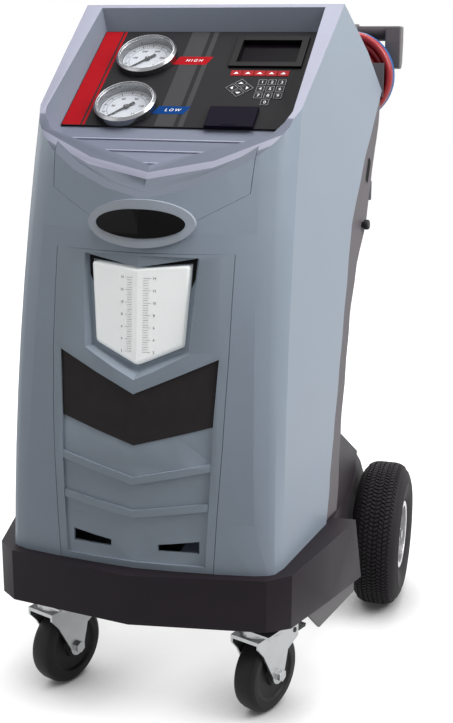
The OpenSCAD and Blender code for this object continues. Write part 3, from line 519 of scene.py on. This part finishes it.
for key in range(10):
    looks[f"digit_key_{key}"] = (0.4, "keyBlack")
for key in ("up", "left", "right", "down"):
    looks[f"{key}_key"] = (0.4, "keyBlack")

# Frames that the printed and added pieces are laid out in
panel = {"y": -22.8, "z": 948, "tilt": 34.4, "plate": 3}
gaugePlaces = {"high": (-86, 49), "low": (-86, -75)}


def panelFrame(u=0, v=0, h=0):
    place = Matrix.Translation(placed((0, panel["y"], panel["z"])))
    return place @ turnAbout("X", panel["tilt"]) @ Matrix.Translation(Vector((u, v, h)) * mm)


# Painted light on the shell: its rim, lip band, rib tops and other up-facing faces above the tray take a
# lighter copy of its grey as painted highlight, its tray, recess walls and lower lip darker copies as painted
# shade
lip = {"behind": -145, "edges": [(-256, 0.25), (-282, 0.53)], "band": 12, "floor": 4, "top": 42}
trayRibs = {"at": (-150, -176, -203), "half": 1.6, "top": 2.2}
recess = {"half": 197, "low": -245, "high": 172, "floor": -2, "top": 64, "middle": -30, "trayTo": -125}
shellSlots = {"rimPaintedHighlight": 1, "trayPaintedShade": 2, "recessPaintedShade": 3, "lipPaintedShade": 4}
leastZ = {"flat": 0.88, "chin": 0.8, "wall": -0.1}      # of a face's normal, in the panel's frame


def tintShell(work):
    panelTurn = panelFrame()
    back = panelTurn.inverted()
    turn = back.to_3x3()

    def isLip(face):
        p = back @ face.calc_center_median() / mm
        up = (turn @ face.normal).z > leastZ["flat"]
        return up and p.y < lip["behind"] and lip["floor"] < p.z < lip["top"]

    cuts = [((0, 0), (1, 0))]
    for level in (0, lip["band"]):
        for start, slope in lip["edges"]:
            cuts += [((0, start + level), (-slope * side, 1)) for side in (-1, 1)]
    for (u, v), (across, along) in cuts:
        faces = [f for f in work.faces if isLip(f)]
        borders = dict.fromkeys(e for f in faces for e in f.edges)
        corners = dict.fromkeys(c for f in faces for c in f.verts)
        bmesh.ops.bisect_plane(work, geom=[*faces, *borders, *corners],
                               plane_co=panelTurn @ (Vector((u, v, 0)) * mm),
                               plane_no=panelTurn.to_3x3() @ Vector((across, along, 0)))
    for face in work.faces:
        p = back @ face.calc_center_median() / mm
        n = turn @ face.normal
        inside = (abs(p.x) < recess["half"] and recess["low"] < p.y < recess["high"]
                  and recess["floor"] < p.z < recess["top"])
        inward = n.x * p.x + n.y * (p.y - recess["middle"]) < 0
        onRib = any(abs(p.y - v) < trayRibs["half"] for v in trayRibs["at"])
        # each finish set here is painted light: a lit or shaded copy of the shell grey
        finish = None
        if isLip(face):
            edge = max(start + slope * abs(p.x) for start, slope in lip["edges"])
            finish = "lipPaintedShade" if p.y < edge else "rimPaintedHighlight" if p.y < edge + lip["band"] else "trayPaintedShade"
        elif 0 < p.z < trayRibs["top"] and onRib:
            finish = "rimPaintedHighlight"
        elif n.z > leastZ["flat"]:
            finish = "trayPaintedShade" if p.z < lip["floor"] else "rimPaintedHighlight"
        elif inside and inward and n.z > leastZ["wall"]:
            finish = "trayPaintedShade" if p.y < recess["trayTo"] else "recessPaintedShade"
        if finish:
            face.material_index = shellSlots[finish]


# The chin panel's top turns up into the lip and takes the lip's painted shade, a darker copy of the shell
# grey
def tintChin(work):
    turn = panelFrame().inverted().to_3x3()
    for face in work.faces:
        if (turn @ face.normal).z > leastZ["chin"]:
            face.material_index = 1


# Frame of the machine's front, and the bottle's place in it
front = {"keel": -296.3, "z": 640, "lean": 8}
bottleFront = {"top": -3, "topAt": 58, "fall": 8 / 138, "slope": 0.17, "deep": -30}


def frontFrame():
    place = Matrix.Translation(placed((0, front["keel"], front["z"])))
    return place @ turnAbout("X", 90 - front["lean"])


# The bottle's front as two flat faces that meet in a fold
def flattenBottle(work):
    face = frontFrame()
    back = face.inverted()
    for vertex in work.verts:
        p = back @ vertex.co / mm
        if p.z > bottleFront["deep"]:
            fall = bottleFront["fall"] * (p.y - bottleFront["topAt"])
            p.z = bottleFront["top"] + fall - bottleFront["slope"] * abs(p.x)
            vertex.co = face @ (p * mm)


shapes = {"oil_bottle": flattenBottle, "front_shell": tintShell, "chin_panel": tintChin}
extras = {"front_shell": tuple(shellSlots), "chin_panel": ("lipPaintedShade",)}
pieces = {}
for node, (width, finish) in looks.items():
    pieces[node] = soften(node, width, finish, shape=shapes.get(node), extra=extras.get(node, ()))
nodes["gauge_lenses"].data.materials.clear()
nodes["gauge_lenses"].data.materials.append(mats["lensClear"])
print("softened solids:", len(pieces))


# Flat printed or moulded shape: an outline in mm, drawn out between two heights
def prismMesh(outlines, low, high):
    work = bmesh.new()
    for outline in outlines:
        base = [work.verts.new((x * mm, y * mm, low * mm)) for x, y in outline]
        top = [work.verts.new((x * mm, y * mm, high * mm)) for x, y in outline]
        count = len(outline)
        work.faces.new(top)
        work.faces.new(base[::-1])
        for i in range(count):
            j = (i + 1) % count
            work.faces.new((base[i], base[j], top[j], top[i]))
    return closedMesh("prism", work)


def prism(name, outlines, low, high, matrix, finish, body="body"):
    return finishPiece(name, prismMesh(outlines, low, high), matrix, finish, body)


def block(u, v, w, l, lean=0):
    return [(u - w / 2 - lean, v - l / 2), (u + w / 2 - lean, v - l / 2),
            (u + w / 2 + lean, v + l / 2), (u - w / 2 + lean, v + l / 2)]


def rounded(u, v, w, l, r, steps=6):
    corners = [(u + w / 2 - r, v + l / 2 - r, 0), (u - w / 2 + r, v + l / 2 - r, 90),
               (u - w / 2 + r, v - l / 2 + r, 180), (u + w / 2 - r, v - l / 2 + r, 270)]
    outline = []
    for x, y, start in corners:
        for i in range(steps + 1):
            across, along = polar(r, start + 90 * i / steps)
            outline.append((x + across, y + along))
    return outline


# Thin outline of a rectangle, as four strips
def border(u, v, w, l, line):
    inner = l - 2 * line
    return [block(u, v + (l - line) / 2, w, line), block(u, v - (l - line) / 2, w, line),
            block(u + (w - line) / 2, v, line, inner), block(u - (w - line) / 2, v, line, inner)]


def letterMesh(name, text, size, rise, weight=0, slant=0, spacing=1):
    data = bpy.data.curves.new(name, "FONT")
    data.body = text
    data.size = size * mm
    data.offset = weight * mm
    data.shear = slant
    data.space_character = spacing
    data.align_x = "CENTER"
    data.align_y = "CENTER"
    data.extrude = rise / 2 * mm
    data.resolution_u = 3
    source = bpy.data.objects.new(name + "Text", data)
    collection.objects.link(source)
    depsgraph = bpy.context.evaluated_depsgraph_get()
    mesh = bpy.data.meshes.new_from_object(source.evaluated_get(depsgraph))
    bpy.data.objects.remove(source)
    return mesh


def lettering(name, text, size, matrix, finish, body="body", rise=0.15, **style):
    return finishPiece(name, letterMesh(name, text, size, rise, **style), matrix, finish, body)


# Geometry Nodes: a shape repeated round a circle or along a line
def repeatTree(name, around):
    tree = bpy.data.node_groups.new(name, "GeometryNodeTree")
    tree.interface.new_socket("Geometry", in_out="OUTPUT", socket_type="NodeSocketGeometry")
    sockets = {"Shape": "Object", "Count": "Int", "Finish": "Material"}
    if around:
        sockets.update({"Radius": "Float", "Start": "Float", "Turn": "Float"})
    else:
        sockets["Step"] = "Vector"
    for label, kind in sockets.items():
        tree.interface.new_socket(label, in_out="INPUT", socket_type="NodeSocket" + kind)
    make = tree.nodes.new
    link = tree.links.new
    given = make("NodeGroupInput")
    result = make("NodeGroupOutput")
    index = make("GeometryNodeInputIndex")
    points = make("GeometryNodePoints")
    link(given.outputs["Count"], points.inputs["Count"])
    shape = make("GeometryNodeObjectInfo")
    link(given.outputs["Shape"], shape.inputs["Object"])
    spread = make("GeometryNodeInstanceOnPoints")
    link(points.outputs[0], spread.inputs["Points"])
    link(shape.outputs["Geometry"], spread.inputs["Instance"])
    if around:
        angle = make("ShaderNodeMath")
        angle.operation = "MULTIPLY_ADD"
        link(index.outputs[0], angle.inputs[0])
        link(given.outputs["Turn"], angle.inputs[1])
        link(given.outputs["Start"], angle.inputs[2])
        place = make("ShaderNodeCombineXYZ")
        for axis, operation in (("X", "COSINE"), ("Y", "SINE")):
            wave = make("ShaderNodeMath")
            wave.operation = operation
            link(angle.outputs[0], wave.inputs[0])
            reach = make("ShaderNodeMath")
            reach.operation = "MULTIPLY"
            link(wave.outputs[0], reach.inputs[0])
            link(given.outputs["Radius"], reach.inputs[1])
            link(reach.outputs[0], place.inputs[axis])
        link(place.outputs[0], points.inputs["Position"])
        facing = make("ShaderNodeCombineXYZ")
        link(angle.outputs[0], facing.inputs["Z"])
        link(facing.outputs[0], spread.inputs["Rotation"])
    else:
        stride = make("ShaderNodeVectorMath")
        stride.operation = "SCALE"
        link(given.outputs["Step"], stride.inputs[0])
        link(index.outputs[0], stride.inputs["Scale"])
        link(stride.outputs[0], points.inputs["Position"])
    real = make("GeometryNodeRealizeInstances")
    link(spread.outputs[0], real.inputs[0])
    coat = make("GeometryNodeSetMaterial")
    link(real.outputs[0], coat.inputs["Geometry"])
    link(given.outputs["Finish"], coat.inputs["Material"])
    link(coat.outputs[0], result.inputs[0])
    return tree


ringTree = repeatTree("repeatAround", True)
rowTree = repeatTree("repeatAlong", False)


def repeatedMesh(name, shapeMesh, tree, values, finish):
    template = bpy.data.objects.new(name + "Shape", shapeMesh)
    collection.objects.link(template)
    carrier = bpy.data.objects.new(name + "Carrier", bpy.data.meshes.new(name))
    collection.objects.link(carrier)
    modifier = carrier.modifiers.new("repeat", "NODES")
    modifier.node_group = tree
    values = dict(values, Shape=template, Finish=mats[finish])
    for item in tree.interface.items_tree:
        if item.in_out == "INPUT":
            modifier[item.identifier] = values[item.name]
    depsgraph = bpy.context.evaluated_depsgraph_get()
    mesh = bpy.data.meshes.new_from_object(carrier.evaluated_get(depsgraph))
    carrier.modifiers.clear()
    bpy.data.objects.remove(carrier)
    bpy.data.objects.remove(template)
    return mesh


def aroundRing(name, shapeMesh, count, radius, start, turn, matrix, finish, body="body"):
    values = {"Count": count, "Radius": radius * mm, "Start": math.radians(start), "Turn": math.radians(turn)}
    mesh = repeatedMesh(name, shapeMesh, ringTree, values, finish)
    return finishPiece(name, mesh, matrix, finish, body)


# Gauge faces: marks, numbers and a scale line, from down left over the top to down right
dial = {
    "height": 1.2,
    "plate": [(2.2, -3), (41.6, -3), (41.6, 0), (2.2, 0)],
    "start": 225,
    "sweep": 270,
    "ticks": {
        "Minor": {"count": 51, "radius": 36.4, "size": (3.4, 0.7), "rise": 0.1},
        "Major": {"count": 11, "radius": 35.4, "size": (5.6, 1.4), "rise": 0.12},
    },
    "line": {"radius": 30.5, "width": 0.6, "rise": 0.1},
    "numberRadius": 23,
    "numberSize": 6.4,
    "numberWeight": 0.18,
}
dialTops = {"high": 500, "low": 150}
blade = {
    "outline": [(-3.2, -15), (3.2, -15), (1.9, 0), (0.7, 34), (-0.7, 34), (-1.9, 0)],
    "height": 3,
    "rise": 0.35,
    "turn": 135,
}


def arcBand(radius, width, start, end, steps=48):
    angles = [start + (end - start) * i / steps for i in range(steps + 1)]
    inner = [polar(radius, a) for a in angles]
    outer = [polar(radius + width, a) for a in angles]
    return [[inner[i], outer[i], outer[i + 1], inner[i + 1]] for i in range(steps)]


def makeDial(side):
    u, v = gaugePlaces[side]
    face = panelFrame(u, v, dial["height"])
    plate = turnedMesh(dial["plate"], segments=72, closed=True)
    finishPiece(side + "DialPlate", plate, face, "dialWhite", "body", smooth=True)
    for kind, ticks in dial["ticks"].items():
        tick = prismMesh([block(0, 0, *ticks["size"])], 0, ticks["rise"])
        step = -dial["sweep"] / (ticks["count"] - 1)
        aroundRing(f"{side}{kind}Ticks", tick, ticks["count"], ticks["radius"], dial["start"], step,
                   face, "inkBlack")
    line = dial["line"]
    arc = arcBand(line["radius"], line["width"], dial["start"], dial["start"] - dial["sweep"])
    prism(side + "ScaleLine", arc, 0, line["rise"], face, "inkBlack")
    last = dial["ticks"]["Major"]["count"] - 1
    for i in range(0, last + 1, 2):
        angle = math.radians(dial["start"] - dial["sweep"] / last * i)
        spot = Vector((math.cos(angle), math.sin(angle), 0)) * dial["numberRadius"] * mm
        value = dialTops[side] * i // last
        lettering(f"{side}Number{value}", str(value), dial["numberSize"],
                  face @ Matrix.Translation(spot), "inkBlack", weight=dial["numberWeight"])
    hand = panelFrame(u, v, blade["height"]) @ turnAbout("Z", blade["turn"])
    prism(side + "PointerBlade", [blade["outline"]], 0, blade["rise"], hand, "pointerBlack", side + "_needle")


for side in gaugePlaces:
    makeDial(side)
print("gauge faces drawn")


# Console print: function bars, colour bands and the keys' own legends
inkLayer = {"height": 3.02, "rise": 0.18, "bandSunk": 0.01, "bandRise": 0.06, "wordLift": 0.1, "wordShift": 2}
bars = {
    "highBar": {"word": "HIGH", "u": (-37, 18), "v": 43.5, "deep": 21, "lean": 4, "finish": "inkRed"},
    "lowBar": {"word": "LOW", "u": (-37, 13), "v": -82, "deep": 19, "lean": 4, "finish": "inkBlue"},
}
barWords = {"size": 8.8, "weight": 0.03, "slant": 0.25, "spacing": 1.45}
bands = {
    "redBands": {"at": [(-162, 30), (-142, 4)], "tall": 242, "finish": "inkRed"},
    "greyBands": {"at": [(-14, 30), (12, 8)], "tall": 242, "finish": "inkGrey"},
}


def makeConsolePrint():
    base = panelFrame()
    low = inkLayer["height"]
    high = low + inkLayer["rise"]
    for name, band in bands.items():
        strips = [block(u, 0, wide, band["tall"]) for u, wide in band["at"]]
        prism(name, strips, low - inkLayer["bandSunk"], low + inkLayer["bandRise"], base, band["finish"])
    for name, bar in bars.items():
        start, end = bar["u"]
        middle = (start + end) / 2
        shape = block(middle, bar["v"], end - start, bar["deep"], bar["lean"])
        prism(name, [shape], low, high, base, bar["finish"])
        spot = panelFrame(middle + inkLayer["wordShift"], bar["v"], high + inkLayer["wordLift"])
        lettering(name + "Word", bar["word"], matrix=spot, finish="inkWhite", **barWords)


makeConsolePrint()

keyFace = {"top": panel["plate"] + 0.8, "rise": 0.1, "inset": 1, "line": 0.5}
softKeys = {
    "count": 5,
    "u": 105.6,
    "v": 12,
    "pitch": 18.6,
    "mark": [(-4.2, -2.2), (4.2, -2.2), (0, 3)],
    "rise": 0.12,
}
arrowKeys = {
    "u": 81.8,
    "v": -25.5,
    "reach": 11.9,
    "size": (15.6, 15.6),
    "turn": 45,
    "mark": [(-4, -1.6), (4, -1.6), (0, 2.8)],
    "ways": {"up": (0, 1, 0), "left": (-1, 0, 90), "right": (1, 0, -90), "down": (0, -1, 180)},
}
digitKeys = {
    "u": 129.9,
    "v": -27.1,
    "zeroU": 128.3,
    "across": 15.2,
    "down": 16.4,
    "size": (13.2, 14.4),
    "number": 9,
    "lift": 0.06,
}


def keyMark(name, outline, rise, matrix):
    prism(name + "Mark", [outline], 0, rise, matrix, "inkWhite", name + "_cap")


def keyBorder(name, size, matrix):
    w, l = (s - keyFace["inset"] for s in size)
    prism(name + "Frame", border(0, 0, w, l, keyFace["line"]), 0, keyFace["rise"], matrix, "keyLine",
          name + "_cap")


def digitPlace(n):
    if n == 0:
        return (digitKeys["zeroU"], digitKeys["v"] - 2 * digitKeys["down"])
    row, column = divmod(n - 1, 3)
    u = digitKeys["u"] + (column - 1) * digitKeys["across"]
    return (u, digitKeys["v"] + (1 - row) * digitKeys["down"])


def makeLegends():
    middle = (softKeys["count"] - 1) / 2
    for i in range(softKeys["count"]):
        top = panelFrame(softKeys["u"] + (i - middle) * softKeys["pitch"], softKeys["v"], keyFace["top"])
        keyMark(f"soft_key_{i + 1}", softKeys["mark"], softKeys["rise"], top)
    reach = arrowKeys["reach"]
    for way, (across, along, turn) in arrowKeys["ways"].items():
        top = panelFrame(arrowKeys["u"] + across * reach, arrowKeys["v"] + along * reach, keyFace["top"])
        keyBorder(way + "_key", arrowKeys["size"], top @ turnAbout("Z", arrowKeys["turn"]))
        keyMark(way + "_key", arrowKeys["mark"], keyFace["rise"], top @ turnAbout("Z", turn))
    for n in range(10):
        name = f"digit_key_{n}"
        top = panelFrame(*digitPlace(n), keyFace["top"])
        keyBorder(name, digitKeys["size"], top)
        spot = top @ Matrix.Translation((0, 0, digitKeys["lift"] * mm))
        lettering(name + "Number", str(n), digitKeys["number"], spot, "inkWhite", name + "_cap",
                  keyFace["rise"])


makeLegends()
print("console printed")


# Display window and printer door trim
window = {"u": 110, "v": 65.5, "wide": 93.6, "tall": 56.6, "corner": 2, "floor": -2.9, "thick": 2}
pane = rounded(window["u"], window["v"], window["wide"], window["tall"], window["corner"])
prism("displayWindow", [pane], window["floor"], window["floor"] + window["thick"], panelFrame(), "windowDark")
doorPull = {"u": 87, "v": -120, "wide": 24, "tall": 4, "corner": 1.8, "low": 9.1, "high": 9.8}
pull = rounded(doorPull["u"], doorPull["v"], doorPull["wide"], doorPull["tall"], doorPull["corner"])
prism("doorPull", [pull], doorPull["low"], doorPull["high"], panelFrame(), "doorBlack", "printer_lid")

# Bare badge plate: the faces inside the surround take a darker finish
badge = {"z": 759, "across": 66, "tall": 20, "inside": 0.995}


def darkenBadge():
    mesh = pieces["badge"].data
    mesh.materials.append(mats["badgeBlack"])
    for face in mesh.polygons:
        x = face.center.x / (badge["across"] * mm)
        z = (face.center.z - badge["z"] * mm) / (badge["tall"] * mm)
        if x * x + z * z < badge["inside"]:
            face.material_index = 1


darkenBadge()
castFrom = 60 * mm      # height over the front at which a ray down to a piece starts


def surfaceOf(node):
    mesh = pieces[node].data
    return BVHTree.FromPolygons([v.co for v in mesh.vertices], [p.vertices for p in mesh.polygons])


# A thin mesh laid on a piece: each point keeps its own height above what lies below it
def drape(mesh, matrix, tree):
    down = matrix.to_3x3() @ Vector((0, 0, -1))
    back = matrix.inverted()
    for vertex in mesh.vertices:
        hit = tree.ray_cast(matrix @ Vector((vertex.co.x, vertex.co.y, castFrom)), down)[0]
        if hit:
            vertex.co.z += (back @ hit).z
    return mesh


# Bottle graduations on both faces of its front
marks = {
    "count": 31,
    "step": 3.5,
    "every": 5,             # each fifth mark is long and has a number
    "low": -60,
    "from": 8,
    "long": 11,
    "short": 8,
    "wide": 0.5,
    "height": (0.05, 0.2),
    "number": {"count": 7, "at": 24, "size": 5, "rise": 0.15, "weight": 0.08, "lift": 0.1, "each": 2},
}


def makeBottleMarks():
    face = frontFrame()
    bottle = surfaceOf("oil_bottle")
    number = marks["number"]
    for side, name in ((-1, "left"), (1, "right")):
        for kind, every, reach in (("Fine", 1, marks["short"]), ("Coarse", marks["every"], marks["long"])):
            line = prismMesh([block(side * (marks["from"] + reach / 2), 0, reach, marks["wide"])],
                             *marks["height"])
            values = {
                "Count": (marks["count"] - 1) // every + 1,
                "Step": Vector((0, marks["step"] * every, 0)) * mm,
            }
            lines = repeatedMesh(name + kind, line, rowTree, values, "markGrey")
            lines.transform(Matrix.Translation((0, marks["low"] * mm, 0)))
            finishPiece(f"{name}{kind}Marks", drape(lines, face, bottle), face, "markGrey", "bottle")
        for i in range(number["count"]):
            label = f"{name}Level{i}"
            up = marks["low"] + i * marks["every"] * marks["step"]
            value = str(number["each"] * (i + 1))
            digits = letterMesh(label, value, number["size"], number["rise"], number["weight"])
            digits.transform(Matrix.Translation(Vector((side * number["at"], up, number["lift"])) * mm))
            finishPiece(label, drape(digits, face, bottle), face, "markGrey", "bottle")


makeBottleMarks()
print("bottle marked")


# Hood of the shell over the bottle's top, and a black sheet of painted shade for the dark gap left at its
# corners
hood = {
    "outline": [(0, 59.6), (80, 75), (80, 78), (0, 78)],
    "front": -0.5,
    "back": -7,
    "follows": 92,          # height at which the shell's own face gives the hood its depth
    "gap": [(0, 60), (74.5, 68), (73.4, 34), (78.6, 46), (80.5, 75.5), (0, 73)],
    "gapLow": -26.5,
    "gapHigh": -25.4,
}


def mirrored(outline):
    return [(-x, y) for x, y in reversed(outline)]


def makeHood():
    face = frontFrame()
    back = face.inverted()
    down = face.to_3x3() @ Vector((0, 0, -1))
    shell = surfaceOf("front_shell")
    mesh = prismMesh([hood["outline"], mirrored(hood["outline"])], hood["back"], hood["front"])
    for vertex in mesh.vertices:
        above = face @ Vector((vertex.co.x, hood["follows"] * mm, castFrom))
        hit = shell.ray_cast(above, down)[0]
        vertex.co.z += (back @ hit).z
    finishPiece("bottleHood", mesh, face, "bibGrey", "body")
    # painted shade: a thin black sheet behind the hood stands for the shade in the gap
    gaps = [hood["gap"], mirrored(hood["gap"])]
    prism("bottleGap", gaps, hood["gapLow"], hood["gapHigh"], face, "holeShadeBlack")


makeHood()
print("hood made")


# Right side of the back cover: an oval hole drawn as a black disc of painted shade on a grey lip, and a small
# knob
coverHole = {
    "y": 209,
    "z": 793,
    "long": 46,
    "wide": 15,
    "lean": 55,
    "corner": 7.4,
    "lip": 5,
    "lipCorner": 9.5,
    "lipRise": 0.5,
    "rise": 0.7,
    "sunk": -1,
    "steps": 8,
}
coverKnob = {
    "y": 163,
    "z": 706,
    "profile": [(0, 0), (5, 0), (5, 3), (8, 3.5), (8.5, 5), (8.5, 10), (7.5, 11.5), (0, 11.5)],
}
outsideX = 400          # a ray to the cover's side starts here


def onCoverSide(y, z):
    start = placed((outsideX, y, z))
    hit, normal = surfaceOf("back_cover").ray_cast(start, Vector((-1, 0, 0)))[:2]
    turn = normal.to_track_quat("Z", "Y").to_matrix().to_4x4()
    return Matrix.Translation(hit) @ turn


def makeCoverSide():
    hole = coverHole
    wider = hole["wide"] + hole["lip"]
    spot = onCoverSide(hole["y"], hole["z"]) @ turnAbout("Z", hole["lean"])
    rim = rounded(0, 0, hole["long"] + hole["lip"], wider, hole["lipCorner"], hole["steps"])
    inset = rounded(0, 0, hole["long"], hole["wide"], hole["corner"], hole["steps"])
    prism("coverHoleLip", [rim], hole["sunk"], hole["lipRise"], spot, "coverGrey")
    # painted shade: a black disc stands for the shade inside the hole
    prism("coverHole", [inset], hole["sunk"], hole["rise"], spot, "holeShadeBlack")
    seat = onCoverSide(coverKnob["y"], coverKnob["z"])
    knob = turnedMesh(coverKnob["profile"], segments=32)
    finishPiece("coverKnob", knob, seat, "reliefBlack", "body", smooth=True)


makeCoverSide()
print("cover dressed")


# Rear wheels: tyre with its tread blocks, rim bolts and valve, in a frame whose z points out of the wheel
wheel = {
    "track": 576,
    "axleY": 221.5,
    "radius": 130,
    "sidewall": [
        (57, 33.5), (62, 33.5), (68, 37), (78, 40.6), (90, 42.4), (97, 42.4), (98, 43), (100, 43),
        (101, 42.2), (108, 40.6), (115, 37.4), (120.5, 32.6), (124.4, 26.4), (126.2, 16), (126.4, 0)],
}
tread = {
    "blocks": 104,
    "long": 5.8,
    "foot": 118,
    "trim": 0.8,
    "slant": 1.4,
    "rows": [                # from, to, and the height at each
        (1.4, 7.8, 130, 130), (9.2, 15.6, 130, 129.8),
        (18.4, 24.8, 129.4, 127.6), (26.4, 30.6, 126.6, 124.2)],
}
hubBolts = {"count": 4, "radius": 4.5, "tall": 4, "circle": 32, "start": 45, "turn": 90, "sunk": -1}
valve = {
    "profile": [(0, 0), (5, 0), (4.6, 6), (3.4, 8), (3.2, 20), (3.8, 21), (3.8, 27), (0, 28)],
    "at": (0, -42, -1.2),
    "lean": 18,
}


def wheelFrame(side):
    place = Matrix.Translation(placed((side * wheel["track"] / 2, wheel["axleY"], wheel["radius"])))
    return place @ turnAbout("Y", 90 * side)


# One tread block, between two widths, with its own height at each and a slanted length
def treadBlock(near, far, nearTop, farTop, slant):
    half = tread["long"] / 2
    trim = tread["trim"]
    work = bmesh.new()
    corners = []
    for z, top, shift in ((near, nearTop, -slant), (far, farTop, slant)):
        for r, inset in ((tread["foot"], 0), (top - trim, 0), (top, trim)):
            for y in (-half + inset, half - inset):
                corners.append(work.verts.new((r * mm, (y + shift) * mm, z * mm)))
    sides = [(0, 1, 3, 2), (2, 3, 5, 4), (6, 8, 9, 7), (8, 10, 11, 9), (0, 2, 8, 6), (2, 4, 10, 8),
             (1, 7, 9, 3), (3, 9, 11, 5), (4, 5, 11, 10), (0, 6, 7, 1)]
    for side in sides:
        work.faces.new([corners[i] for i in side])
    return closedMesh("treadBlock", work)


def makeTyre(name, hub, body):
    half = wheel["sidewall"]
    profile = half + [(r, -h) for r, h in reversed(half[:-1])]
    shape = turnedMesh(profile, segments=120, closed=True)
    tyre = finishPiece(name + "Tyre", shape, hub, "tyreBlack", body, smooth=True, sharp=50)
    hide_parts(name + "_tyre")
    turn = 360 / tread["blocks"]
    for i, (near, far, nearTop, farTop) in enumerate(tread["rows"]):
        slant = tread["slant"] if i % 2 else -tread["slant"]
        for edge, label in ((-1, "In"), (1, "Out")):
            shape = treadBlock(edge * near, edge * far, nearTop, farTop, slant)
            aroundRing(f"{name}Tread{i}{label}", shape, tread["blocks"], 0, turn / 2 * (i % 2), turn,
                       hub, "tyreBlack", body)


def makeHubTrim(name, hub, body):
    bolt = prismMesh([[polar(hubBolts["radius"], 60 * i) for i in range(6)]], 0, hubBolts["tall"])
    seat = hub @ Matrix.Translation((0, 0, hubBolts["sunk"] * mm))
    aroundRing(name + "HubBolts", bolt, hubBolts["count"], hubBolts["circle"], hubBolts["start"],
               hubBolts["turn"], seat, "zinc", body)
    stem = hub @ Matrix.Translation(Vector(valve["at"]) * mm) @ turnAbout("X", valve["lean"])
    shape = turnedMesh(valve["profile"], segments=20)
    finishPiece(name + "Valve", shape, stem, "reliefBlack", body, smooth=True)


for name, side in (("left", -1), ("right", 1)):
    hub = wheelFrame(side)
    makeTyre(name, hub, name + "_wheel")
    makeHubTrim(name, hub, name + "_wheel")
print("wheels dressed")


# Floor, light and background
studio = {
    "floorHalf": 14,
    "floor": 0.34,
    "floorRough": 0.8,
    "floorShine": 0.1,
    "contact": 0.17,        # reach of the dark under the machine, in metres
    "shadeSamples": 12,
    "shadeFrom": 0.3,
    "shadeTo": 0.95,
    "contactGlow": 0.03,
    "openGlow": 0.9,
    "world": 0.18,
}
lamps = {
    "keyLamp": {"at": (2.5, -0.2, 2.6), "aim": (0, 0, 0.7), "size": 1.8, "power": 100},
    "fillLamp": {"at": (-2.6, -3.0, 1.8), "aim": (0, 0, 0.6), "size": 2.6, "power": 22},
    "topLamp": {"at": (0.2, 0.1, 3.9), "aim": (0, 0, 0.8), "size": 2.4, "power": 92},
    "leftLamp": {"at": (-3.4, 1.1, 1.9), "aim": (0, 0.1, 0.6), "size": 2.2, "power": 40},
    "rearLamp": {"at": (-0.6, 3.4, 2.0), "aim": (0, 0, 0.6), "size": 2.2, "power": 34},
}


# Rays that see the background itself: camera, mirror and through-going ones
def seenRays(tree):
    path = tree.nodes.new("ShaderNodeLightPath")
    total = path.outputs["Is Camera Ray"]
    for kind in ("Is Glossy Ray", "Is Transmission Ray"):
        either = tree.nodes.new("ShaderNodeMath")
        either.operation = "MAXIMUM"
        tree.links.new(total, either.inputs[0])
        tree.links.new(path.outputs[kind], either.inputs[1])
        total = either.outputs[0]
    return total


def paleFloor():
    mat, shader = newMaterial("paleFloor")
    tree = mat.node_tree
    level = studio["floor"]
    setSockets(shader, {
        "Base Color": (level, level, level, 1),
        "Roughness": studio["floorRough"],
        "Specular IOR Level": studio["floorShine"],
        "Emission Color": (1, 1, 1, 1),
    })
    # painted shadow: the floor's glow, which camera and mirror rays see, falls off where ambient occlusion
    # finds the machine near, so a contact shadow shows under it
    shade = tree.nodes.new("ShaderNodeAmbientOcclusion")
    shade.samples = studio["shadeSamples"]
    setSockets(shade, {"Distance": studio["contact"]})
    glow = tree.nodes.new("ShaderNodeMapRange")
    setSockets(glow, {
        "From Min": studio["shadeFrom"],
        "From Max": studio["shadeTo"],
        "To Min": studio["contactGlow"],
        "To Max": studio["openGlow"],
    })
    tree.links.new(shade.outputs["AO"], glow.inputs["Value"])
    strength = tree.nodes.new("ShaderNodeMath")
    strength.operation = "MULTIPLY"
    tree.links.new(glow.outputs["Result"], strength.inputs[0])
    tree.links.new(seenRays(tree), strength.inputs[1])
    tree.links.new(strength.outputs[0], shader.inputs["Emission Strength"])
    return mat


def makeStage():
    half = studio["floorHalf"]
    mesh = bpy.data.meshes.new("floor")
    corners = [(-half, -half, 0), (half, -half, 0), (half, half, 0), (-half, half, 0)]
    mesh.from_pydata(corners, [], [(0, 1, 2, 3)])
    mesh.materials.append(paleFloor())
    floor = bpy.data.objects.new("floor", mesh)
    collection.objects.link(floor)
    world = bpy.data.worlds.new("studio")
    bpy.context.scene.world = world
    world.use_nodes = True
    tree = world.node_tree
    back = tree.nodes["Background"]
    setSockets(back, {"Color": (1, 1, 1, 1)})
    level = tree.nodes.new("ShaderNodeMapRange")
    setSockets(level, {"To Min": studio["world"], "To Max": 1})
    tree.links.new(seenRays(tree), level.inputs["Value"])
    tree.links.new(level.outputs["Result"], back.inputs["Strength"])


def makeLamp(name, lamp):
    data = bpy.data.lights.new(name, "AREA")
    data.size = lamp["size"]
    data.energy = lamp["power"]
    obj = bpy.data.objects.new(name, data)
    collection.objects.link(obj)
    obj.location = lamp["at"]
    obj.rotation_euler = (Vector(lamp["aim"]) - Vector(lamp["at"])).to_track_quat("-Z", "Y").to_euler()


makeStage()
for name, lamp in lamps.items():
    makeLamp(name, lamp)
bpy.context.scene.view_settings.view_transform = "Standard"
print("stage lit")
